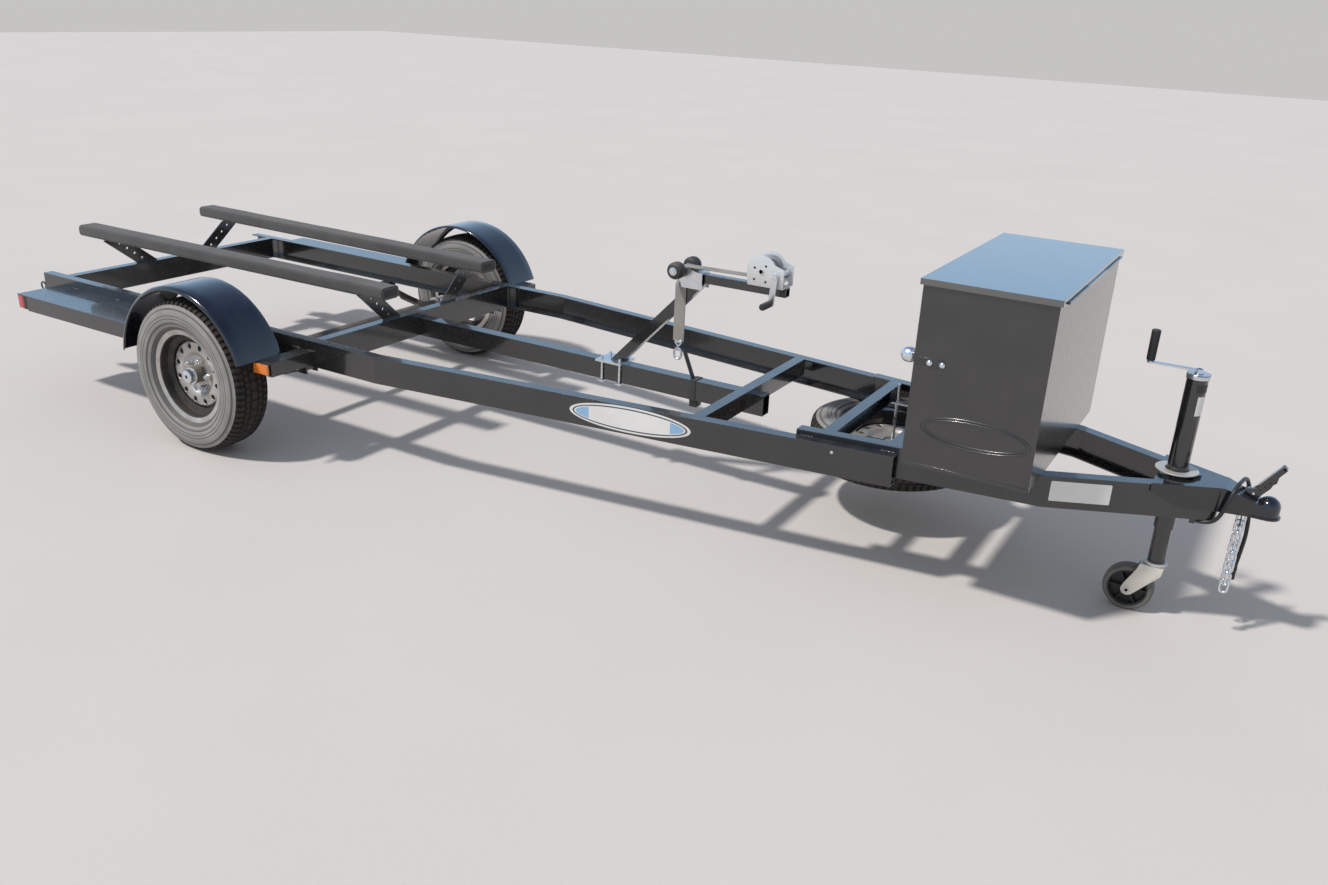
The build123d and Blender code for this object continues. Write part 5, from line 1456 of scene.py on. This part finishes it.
@dataclass
class WinchStrap:
    """Webbing off the drum, over the rollers' shaft, turned and hung beside the post."""

    width: float = 45.0
    thick: float = 2.6
    drum_x: float = DRUM_X
    drum_z: float = DRUM_Z
    drum_radius: float = 30.0
    roller_x: float = ROLLER_X
    roller_z: float = ROLLER_Z
    shaft_off: float = 9.6
    turns: int = 7
    hang_x: float = 1685.0
    hang_y: float = -23.0
    low_z: float = 572.0

    def path(self) -> tuple[list[Point], list[Point]]:
        """The strap's centre line and the direction across it at each point.

        Returns:
            The points, and as many directions.
        """
        off = self.shaft_off
        line: list[Point] = [(self.drum_x - 6.0, 0.0, self.drum_z - self.drum_radius + 1.8)]
        start = Vector(line[0])
        end = Vector((self.roller_x + 3.0, 0.0, self.roller_z + off))
        for i in range(1, 17):
            spot = start.lerp(end, i / 16)
            line.append((spot.x, 0.0, spot.z - 0.8 * sin(pi * i / 16)))
        for i in range(1, 7):
            turn = radians(90 + i * 15)
            line.append((self.roller_x + off * cos(turn), 0.0, self.roller_z + off * sin(turn)))
        across: list[Point] = [(0.0, 1.0, 0.0)] * len(line)
        top, low = self.roller_z - 12.0, self.roller_z - 64.0
        line.append((self.roller_x - off, 0.0, top))
        across.append((0.0, 1.0, 0.0))
        for i in range(1, 13):
            share = i / 12
            turn = radians(90 * (3 * share ** 2 - 2 * share ** 3))
            line.append((self.roller_x - off + (self.hang_x - self.roller_x + off) * share,
                         self.hang_y * share, top + (low - top) * share))
            across.append((-sin(turn), cos(turn), 0.0))
        for i in range(1, 21):
            share = i / 20
            ripple = 0.5 * sin(share * 9.0)
            line.append((self.hang_x, self.hang_y + ripple, low + (self.low_z - 3.0 - low) * share))
            across.append((-1.0, 0.0, 0.0))
        return line, across

    def hanging(self) -> None:
        """The strap and its roll on the drum."""
        piece = Workpiece("winch_strap_webbing", STRAP)
        middle, across = self.path()
        piece.strip(middle, across, self.width, 6)
        piece.finish(("winch_strap",), smooth=60.0, solid=self.thick, bevel=0.5)
        roll = Workpiece("winch_strap_roll", STRAP)
        half = self.width / 2
        outline: list[Pair] = [(-half, 8.4)]
        for i in range(self.turns):
            radius = 10.0 + i * 2.9
            outline += [(-half, radius), (-half + 0.7, radius + 1.4)]
        outline.append((-half + 0.4, self.drum_radius - 0.3))
        faces = roll.spun(mirrored(outline), (self.drum_x, 0.0, self.drum_z), Axis.Y, 48)
        layer = roll.bm.loops.layers.uv.verify()
        for face in faces:
            for loop in face.loops:
                spot = loop.vert.co
                turn = atan2(spot.z - self.drum_z, spot.x - self.drum_x)
                loop[layer].uv = (spot.y * METRE, turn * self.drum_radius * METRE)
        roll.finish()

    def hook(self) -> None:
        """The plated snap hook with its swivel eye and gate."""
        piece = Workpiece("winch_hook_wire", ZINC)
        x, y = self.hang_x, self.hang_y
        eye = [(x - 13.0, y, 571.0), (x + 13.0, y, 571.0), (x + 13.0, y, 562.0), (x, y, 549.0),
               (x - 13.0, y, 562.0)]
        wire(piece, round_line([*eye, eye[0], eye[1]], 5.0)[1:-1], 2.8, 10)
        piece.rod((x, y, 552.0), (x, y, 536.0), 5.2, 18, bevel=0.8)
        loop = [(x, y, 541.0), (x + 10.0, y, 538.0), (x + 15.2, y, 524.0), (x + 15.2, y, 514.0),
                (x + 9.0, y, 501.5), (x, y, 500.2), (x - 9.0, y, 501.5), (x - 15.2, y, 514.0),
                (x - 15.2, y, 524.0), (x - 10.0, y, 538.0)]
        wire(piece, round_line([loop[-1], *loop, loop[0]], 4.0)[1:-1], 4.0, 12)
        piece.rod((x - 15.2, y - 4.2, 528.0), (x - 15.2, y + 4.2, 528.0), 3.0, 14)
        piece.block((x, y, 566.0), (27.0, 6.4, 9.0), 1.6)
        piece.finish(("winch_hook",), "plated_steel")

    def build(self) -> None:
        """Make the strap, its roll and its hook."""
        self.hanging()
        self.hook()


@dataclass
class TieStrap:
    """The dark strap that ties the hook down to the beam."""

    x: float = 1757.0
    width: float = 25.0
    beam_half: float = 25.4
    beam_top: float = 431.0
    beam_low: float = 354.8

    def build(self) -> None:
        """Make the loop round the beam, the run up to the hook and the block under the beam."""
        piece = Workpiece("tie_strap_webbing", DARK_STRAP)
        gap = 1.2
        h, top, low = self.beam_half + gap, self.beam_top + gap, self.beam_low - gap
        ring = round_line([(self.x, 0.0, top), (self.x, h, top), (self.x, h, low),
                           (self.x, -h, low), (self.x, -h, top), (self.x, 1.0, top)], 2.6, 4)
        piece.strip(ring, [(1.0, 0.0, 0.0)] * len(ring), self.width, 3)
        upper, lower = Vector((1706.25, -12.5, 536.0)), Vector((1750.75, -12.5, 432.5))
        run = [lower.lerp(upper, i / 10) for i in range(11)]
        piece.strip(run, [(0.0, 1.0, 0.0)] * 11, self.width, 3)
        piece.finish(("beam_strap",), smooth=60.0, solid=2.2, bevel=0.4)
        block = Workpiece("tie_block", LAMP_BLACK, ZINC)
        block.block((self.x, 0.0, 338.0), (32.0, 40.0, 26.0), 3.0, 3)
        block.slot = 1
        block.block((self.x, 0.0, 351.2), (27.0, 30.0, 1.6), 0.4)
        block.finish()


# Storage box


@dataclass
class StorageBox:
    """The tongue box's trim: beads and hems at its ends, strap plates, bolts and lock bodies."""

    rear_x: float = 2697.0
    half_width: float = 424.0
    bottom: float = 476.6
    bolt_z: float = 798.5

    def bead(self) -> None:
        """The raised oval bead on each end panel, blank inside, and the panel's hem."""
        piece = Workpiece("box_beads", BOX_PANEL)
        for _, way in SIDES:
            middle = (2901.0, way * (self.half_width + 0.2), 607.0)
            for long, high in ((160.0, 44.0), (149.0, 36.0)):
                wire(piece, oval(middle, long, high, 64), 2.6, 8, closed=True)
            piece.block((2887.0, way * (self.half_width + 0.8), self.bottom + 5.0),
                        (378.0, 1.6, 10.0), 0.7)
        piece.finish(smooth=60.0)

    def hardware(self) -> None:
        """At each end: a strap plate with two round bolts, and a lock body with its bent rod."""
        piece = Workpiece("box_hardware", ZINC, FRAME_PAINT)
        for _, way in SIDES:
            y = way * self.half_width
            piece.slot = 1
            piece.block((2744.0, y + way * 0.8, 799.0), (92.0, 1.6, 26.0), 0.6)
            piece.slot = 0
            for x in (2744.0, 2782.0):
                for low, high, radius, end in ((1.6, 4.0, 8.5, 8.5), (4.0, 7.0, 8.2, 4.4)):
                    piece.rod((x, y + way * low, self.bolt_z), (x, y + way * high, self.bolt_z),
                              radius, 28, end, bevel=0.8)
        x = self.rear_x
        for _, way in SIDES:
            y = way * (self.half_width - 34.0)
            piece.slot = 1
            piece.block((x - 1.2, y, 800.0), (2.4, 44.0, 82.0), 0.8)
            piece.slot = 0
            for z in (772.0, 828.0):
                piece.nut((x - 2.4, y, z), (-1, 0, 0), 8.0, 3.0, 6.0)
            piece.spun([(0.0, 0.5), (0.0, 13.0), (5.0, 19.0), (16.0, 23.0), (30.0, 23.0),
                        (40.0, 18.0), (46.0, 9.0), (47.0, 0.5)], (x - 3.0, y, 802.0), Axis.X, 32,
                       way=-1)
            bent = [(x - 9.0, y, 828.0), (x - 10.0, y, 860.0), (x - 9.0, y, 905.0),
                    (x - 9.5, y, 992.0)]
            wire(piece, round_line(bent, 8.0), 2.2, 8)
        piece.finish()

    def build(self) -> None:
        """Make the box's trim."""
        self.bead()
        self.hardware()


# Jack


@dataclass
class Jack:
    """The tongue jack's cap, crank, grip, flange plate, blank labels, fork and wheel."""

    x: float = 3413.0
    tube_radius: float = 30.0
    top: float = 784.0
    arm_z: float = 800.0
    reach: float = 136.0
    axle_x: float = 3351.0
    wheel_radius: float = 76.0
    weld_z: float = 494.5
    fork_top: float = 174.7

    def crank(self) -> None:
        """The plated crank with its ridged grip."""
        piece = Workpiece("jack_crank_arm", ZINC, GRIP)
        x, z = self.x, self.arm_z
        piece.spun([(0.0, 0.5), (0.0, 11.0), (2.0, 12.5), (8.0, 12.5), (14.0, 10.0), (14.0, 0.5)],
                   (x, 0.0, z - 6.0), Axis.Z, 32)
        arm = [(x + 11.0, -10.0, z), (x + 11.0, 10.0, z), (x - self.reach - 9.0, 7.5, z),
               (x - self.reach - 9.0, -7.5, z)]
        piece.plate(arm, (0.0, 0.0, 6.0), 1.2, corner=6.5)
        piece.nut((x, 0.0, z + 6.0), (0, 0, 1), 13.0, 2.0)
        gx = x - self.reach
        piece.rod((gx, 0.0, z - 1.0), (gx, 0.0, z + 12.0), 6.0, 20, bevel=0.6)
        piece.slot = 1
        grip = piece.spun([(8.0, 5.0), (8.0, 10.5), (10.5, 12.4), (98.0, 13.0), (101.0, 11.5),
                           (102.0, 8.0), (102.0, 0.5), (90.0, 0.5)], (gx, 0.0, z), Axis.Z, 40)
        walls = [f for f in grip if abs(f.normal.z) < 0.2
                 and (f.calc_center_median() - Vector((gx, 0.0, z + 50.0))).xy.length > 9.0
                 and f.calc_area() > 60.0]
        walls.sort(key=lambda f: atan2(f.calc_center_median().y,
                                       f.calc_center_median().x - gx))
        bmesh.ops.inset_individual(piece.bm, faces=walls[::2], thickness=0.35, depth=-1.3)
        piece.finish(("jack_crank",))

    def tube_trim(self) -> None:
        """The cap, the flange's pale plate and weld, and the tube's blank label and dark band."""
        piece = Workpiece("jack_trim", ZINC, FRAME_PAINT, WHITE_VINYL, LAMP_BLACK, DULL_ZINC)
        x, r = self.x, self.tube_radius
        piece.spun([(-3.0, r + 0.3), (-3.0, r + 3.2), (8.0, r + 3.2), (10.5, r + 1.0),
                    (10.6, 12.0), (9.5, 12.0), (9.0, r)], (x, 0.0, self.top), Axis.Z, 48)
        piece.slot = 4
        piece.spun([(491.7, r + 0.4), (493.4, r + 0.4), (494.0, r + 3.0), (494.0, 61.0),
                    (493.2, 62.0), (491.7, 62.0)], (x, 0.0, 0.0), Axis.Z, 48)
        piece.slot = 1
        for i in range(36):
            ends = [(x + (r + 1.5) * cos(turn), (r + 1.5) * sin(turn), self.weld_z)
                    for turn in (radians(i * 10), radians(i * 10 + 10))]
            piece.weld(*ends)
        piece.slot = 2
        piece.spun([(672.0, r + 0.25), (672.0, r + 0.55), (731.0, r + 0.55), (731.0, r + 0.25)],
                   (x, 0.0, 0.0), Axis.Z, 14, -62.0, 78.0)
        piece.slot = 3
        piece.spun([(742.0, r + 0.25), (742.0, r + 0.5), (766.0, r + 0.5), (766.0, r + 0.25)],
                   (x, 0.0, 0.0), Axis.Z, 16, -80.0, 96.0)
        piece.slot = 0
        piece.rod((x - 8.0, 0.0, 792.0), (x + 8.0, 0.0, 792.0), 3.0, 12)
        piece.finish()

    def fork(self) -> None:
        """The zinc fork with its swivel housing."""
        piece = Workpiece("caster_fork_pressing", DULL_ZINC, ZINC, body=Body.FORK)
        x, ax, az, top = self.x, self.axle_x, self.wheel_radius, self.fork_top
        for _, way in SIDES:
            y = way * 31.0
            cheek = [(x - 40.0, y, top), (x + 30.0, y, top), (x + 26.0, y, top - 28.0),
                     (x - 8.0, y, top - 66.0), (ax + 14.0, y, 62.0), (ax, y, 57.0),
                     (ax - 14.0, y, 62.0), (ax - 19.0, y, az), (ax - 14.0, y, 94.0),
                     (x - 46.0, y, top - 22.0)]
            piece.plate(cheek, (0.0, way * 4.0, 0.0), 0.8, corner=5.0)
            piece.slot = 1
            piece.nut((ax, way * 35.0, az), (0, way, 0), 13.0, 4.0)
            piece.slot = 0
        piece.block((x - 5.0, 0.0, top - 2.2), (70.0, 68.0, 4.4), 1.6, 3)
        piece.slot = 1
        piece.rod((ax, -39.0, az), (ax, 39.0, az), 5.8, 20, bevel=0.6)
        piece.finish(("caster_fork",), smooth=40.0)
        collar = Workpiece("caster_collar", DULL_ZINC, body=Body.LEG)
        collar.spun([(176.0, 34.1), (176.0, 35.4), (182.0, 35.4), (184.0, 34.2), (184.7, 31.0),
                     (184.7, 25.6), (184.1, 25.6), (184.1, 34.1)], (x, 0.0, 0.0), Axis.Z, 48)
        collar.finish()

    def wheel(self) -> None:
        """The caster's wheel: grey tread on a spoked dark centre."""
        piece = Workpiece("caster_tread_ring", CASTER_TREAD, body=Body.CASTER)
        centre = (self.axle_x, 0.0, self.wheel_radius)
        r = self.wheel_radius
        piece.spun(mirrored([(-23.0, 61.0), (-23.0, 69.0), (-20.5, 73.0), (-16.0, 75.4),
                             (-6.0, r)]), centre, Axis.Y, 72)
        piece.finish()
        hub = Workpiece("caster_wheel_centre", CASTER_HUB, body=Body.CASTER)
        for half, steps in (([(-6.0, 54.0), (-22.0, 56.0), (-22.0, 61.2)], 60),
                            ([(-30.0, 6.1), (-30.0, 15.0), (-28.0, 17.0), (-8.0, 20.0)], 40),
                            ([(-2.5, 18.0), (-2.5, 56.0)], 60)):
            hub.spun(mirrored(half), centre, Axis.Y, steps)
        for i in range(6):
            turn = Matrix.Rotation(pi / 3 * i, 3, (0, 1, 0))
            middle = Vector(centre) + turn @ Vector((37.0, 0.0, 0.0))
            hub.block(middle, (42.0, 36.0, 5.0), 1.4, 2, turn)
        hub.finish(("caster_wheel",))

    def build(self) -> None:
        """Make the jack's pieces."""
        self.crank()
        self.tube_trim()
        self.fork()
        self.wheel()


# Coupler and chains


@dataclass
class CouplerTrim:
    """The coupler's latch and the screw of the lead's clip."""

    ball_x: float = 3673.0
    plate_top: float = 482.6
    fall: float = 29.6 / 90.0

    def screw(self) -> None:
        """The screw of the lead's clip."""
        piece = Workpiece("clip_screw", ZINC)
        piece.nut((3488.0, -56.0, 358.0), (0, 0, -1), 7.0, 2.5)
        piece.finish()

    def latch(self) -> None:
        """The latch lever: two thin cheeks under a folded top, with a row of notches shown as discs
        of painted shade.
        """
        piece = Workpiece("coupler_latch_lever", FRAME_PAINT, ZINC, HOLE_SHADE)
        lx = self.ball_x - 52.0
        lz = self.plate_top - self.fall * (lx - 3555.0)
        base = [(lx - 18.0, -12.0, lz + 18.0 * self.fall + 0.5),
                (lx + 22.0, -12.0, lz - 22.0 * self.fall + 0.5),
                (lx + 22.0, -12.0, lz + 14.0), (lx + 4.0, -12.0, lz + 24.0),
                (lx - 18.0, -12.0, lz + 22.0)]
        piece.plate(base, (0.0, 24.0, 0.0), 1.0)
        for y in (-13.0, 9.5):
            cheek = [(lx + 2.0, y, lz + 5.0), (lx + 22.0, y, lz + 5.0), (lx + 46.0, y, lz + 38.0),
                     (lx + 50.0, y, lz + 50.0), (lx + 58.0, y, lz + 57.0),
                     (lx + 60.0, y, lz + 76.0), (lx + 77.0, y, lz + 101.0),
                     (lx + 66.0, y, lz + 110.5), (lx + 4.0, y, lz + 24.0)]
            piece.plate(cheek, (0.0, 3.5, 0.0), 0.6)
        grip = Vector((62.0, 0.0, 87.0)).normalized()
        turn = Matrix.Rotation(-atan2(grip.z, grip.x), 3, "Y")
        piece.block((lx + 34.0, 0.0, lz + 66.0), (102.0, 26.0, 3.0), 0.8, 2, turn)
        piece.block((lx + 68.5, 0.0, lz + 103.0), (10.0, 26.0, 10.0), 2.0, 2, turn)
        piece.slot = 1
        piece.rod((lx + 6.0, -16.0, lz + 12.0), (lx + 6.0, 16.0, lz + 12.0), 4.0, 18, bevel=0.6)
        # Painted shade: thin dark discs stand for the notches.
        piece.slot = 2
        for i in range(3):
            px, pz = lx + 20.0 + i * 11.0, lz + 28.0 + i * 13.0
            for y in (-13.1, 13.1):
                piece.rod((px, y - 0.15, pz), (px, y + 0.15, pz), 2.6, 14)
        piece.finish(("coupler_latch",))

    def build(self) -> None:
        """Make the coupler's trim."""
        self.screw()
        self.latch()


@dataclass
class SafetyChains:
    """Two strands of round-wire links."""

    x: float = 3612.0
    y: float = 28.0
    top_z: float = 368.0
    wire_radius: float = 4.0
    pitch: float = 34.0
    bite: float = 1.0
    out: float = 30.0
    links: int = 7

    def build(self) -> None:
        """Make the chains."""
        piece = Workpiece("chain_links", ZINC)
        bend = self.out / 2 - self.wire_radius
        run = self.pitch / 2 + self.wire_radius - bend
        line = [(side * bend * cos(pi * k / 7), side * (run + bend * sin(pi * k / 7)))
                for side in (1, -1) for k in range(8)]
        for _, way in SIDES:
            for i in range(self.links):
                z = self.top_z - i * (self.pitch - self.bite)
                points = [(self.x, way * self.y + a, z + b) if i % 2
                          else (self.x + a, way * self.y, z + b) for a, b in line]
                wire(piece, points, self.wire_radius, 8, closed=True)
        piece.finish(("safety_chains",), "plated_steel", smooth=60.0)


# Frame


@dataclass
class FrameTrim:
    """The frame's paint, welds, bolts, blank label, oval plate, tie rings and carrier."""

    rail_low: float = 357.0
    rail_high: float = 458.6
    cross_x: Pair = (-1150.0, 425.0)
    bolt_back: float = 37.65
    ring: Point = (-1327.0, 600.0, 395.0)
    ring_radius: float = 16.0

    def paint(self) -> None:
        """Give the CAD nodes that stay their finishes."""
        coats = {
            FRAME_PAINT: ("side_rail_right", "side_rail_left", "tongue_rail_right",
                          "tongue_rail_left", "crossmembers", "tongue_crossmembers",
                          "centre_beam", "leaf_springs", "steps", "bunk_brackets", "winch_post",
                          "jack_tube", "jack_leg"),
            ZINC: ("axle_clamps", "winch_base", "roller_bracket", "spare_carrier"),
            FENDER_PAINT: ("coupler",), AXLE_STEEL: ("axle_beam",), BOX_PANEL: ("box_shell",),
            LID_PAINT: ("box_lid",)}
        for finish, nodes in coats.items():
            for node in nodes:
                repaint(node, finish)

    def welds(self) -> None:
        """Welds where the crossmembers, steps and tongue rails meet the rails."""
        piece = Workpiece("frame_welds", FRAME_PAINT)
        for _, way in SIDES:
            for x, low in (*((x, self.rail_low) for x in self.cross_x),
                           (2013.0, self.rail_high - 64.0)):
                y = way * (rail_y(x, SIDE_RAIL) - 41.5)
                for dx in (1.5, -42.5):
                    piece.weld((x + dx, y, low + 4.0), (x + dx, y, self.rail_high - 4.0))
            for x in (-1100.0, -800.0, -500.0, 300.0, 380.0):
                piece.weld((x, way * 605.0, 420.5), (x + 36.0, way * 605.0, 420.5))
            for x in (2340.0, 2600.0):
                y = rail_y(x, TONGUE_RAIL) + 0.5
                y2 = rail_y(x + 40.0, TONGUE_RAIL) + 0.5
                piece.weld((x, way * y, self.rail_high + 0.5),
                           (x + 40.0, way * y2, self.rail_high + 0.5))
        for x in (1402.0, 1430.0):
            piece.weld((x, -17.0, 440.0), (x, 17.0, 440.0))
        piece.finish(smooth=80.0)

    def bolts(self) -> None:
        """Bolts in the rails, the crossmembers and the bunk brackets."""
        piece = Workpiece("frame_bolts", ZINC)
        for _, way in SIDES:
            slope = Vector((247.0, 1928.0 * way, 0.0)).normalized()
            piece.nut((2461.0, way * rail_y(2461.0, SIDE_RAIL), 437.0), slope, 10.0, 4.0)
            for x in self.cross_x:
                for y in (158.0, 186.0):
                    piece.nut((x - self.bolt_back, way * y, 464.6), (0, 0, 1), 13.0, 6.0, 10.0,
                              4.0, 4.0)
        piece.finish()

    def labels(self) -> None:
        """The blank label on the near tongue rail and the oval plate on the near side rail."""
        piece = Workpiece("tongue_label", WHITE_VINYL)
        outline = []
        for x, z in ((3106.0, 398.0), (3266.0, 398.0), (3266.0, 462.0), (3106.0, 462.0)):
            outline.append((x, -rail_y(x, TONGUE_RAIL) - 0.1, z))
        normal = Vector((sin(radians(25.0)), -cos(radians(25.0)), 0.0)) * 0.5
        piece.plate(outline, normal, 0.0, corner=4.0)
        piece.finish()
        plate = Workpiece("oval_plate", WHITE_VINYL, PLATE_LINE, PALE_BLUE)
        x0, z0 = 1762.0, 410.0
        along, up = Vector((1928.0, 247.0, 0.0)).normalized(), Vector((0.0, 0.0, 1.0))
        out = along.cross(up)

        def on_rail(half: float, high: float, lift: float, least: float = -1.0) -> list[Point]:
            """The points of an oval on the rail, or of its end past that share of its half."""
            turns = [2 * pi * i / 96 for i in range(96)]
            return [Vector((x0, -rail_y(x0, SIDE_RAIL), z0)) + along * half * cos(t)
                    + up * high * sin(t) + out * lift
                    for t in [*turns[48:], *turns[:48]] if cos(t) >= least]

        for slot, half, high, lift in ((0, 226.0, 46.0, 0.0), (1, 214.0, 39.0, 0.8),
                                       (0, 208.0, 35.0, 1.1)):
            plate.slot = slot
            plate.plate(on_rail(half, high, lift), out * 0.8, 0.0)
        plate.slot = 2
        for _, way in SIDES:
            plate.plate(on_rail(way * 202.0, 31.0, 1.5, 0.72), out * 0.7, 0.0)
        plate.finish()

    def rings(self) -> None:
        """The tie-down rings at the rails' rear ends."""
        piece = Workpiece("tie_ring_wire", FRAME_PAINT)
        for _, way in SIDES:
            x, y, z = self.ring[0], way * self.ring[1], self.ring[2]
            wire(piece, oval((x, y, z), self.ring_radius, self.ring_radius, 32), 3.9, 12,
                 closed=True)
            piece.block((x + 19.0, y, z), (6.0, 8.0, 15.5), 1.4, 3)
        piece.finish(("tie_rings",), smooth=50.0)

    def carrier(self) -> None:
        """The spare's carrier: nuts on its rod, and the hook bolt beside it."""
        piece = Workpiece("carrier_hardware", ZINC, FRAME_PAINT)
        x, y, z = SPARE_SPOT
        piece.nut((x, y, 424.6), (0, 0, 1), 17.0, 8.0, 15.0)
        piece.nut((x, y, z), (0, 0, 1), 17.0, 8.0, 15.0)
        hook = [(x + 52.0, y, 420.0), (x + 52.0, y, 478.0), (x + 74.0, y, 492.0),
                (x + 96.0, y, 488.0)]
        wire(piece, round_line(hook, 12.0), 4.2, 10)
        piece.nut((x + 52.0, y, 424.6), (0, 0, 1), 11.0, 6.0, 9.0)
        piece.finish()

    def build(self) -> None:
        """Dress the frame."""
        self.paint()
        self.welds()
        self.bolts()
        self.labels()
        self.rings()
        self.carrier()


def main() -> None:
    """Build every sub-assembly in order and report each one."""
    logging.basicConfig(level=logging.INFO, format="%(name)s: %(message)s")
    parts = [Studio(), WiringLead(), FrameTrim()]
    for name, way in SIDES:
        body = Body.WHEEL_RIGHT if way < 0 else Body.WHEEL_LEFT
        parts += [RoadWheel(name, (0.0, way * HUB_Y, HUB_Z), Axis.Y, way, body, f"tyre_{name}",
                            f"rim_{name}"),
                  Hub(name, way, body), Fender(name, way), Bunk(name, way)]
    parts += [RoadWheel("spare", SPARE_SPOT, Axis.Z, 1, Body.FRAME, "spare_tyre", "spare_rim"),
              Lamps(), BowStop(), Winch(), WinchStrap(), TieStrap(), StorageBox(), Jack(),
              CouplerTrim(), SafetyChains()]
    for part in parts:
        part.build()
        log.info("%s ready", type(part).__name__)


if __name__ == "__main__":
    main()
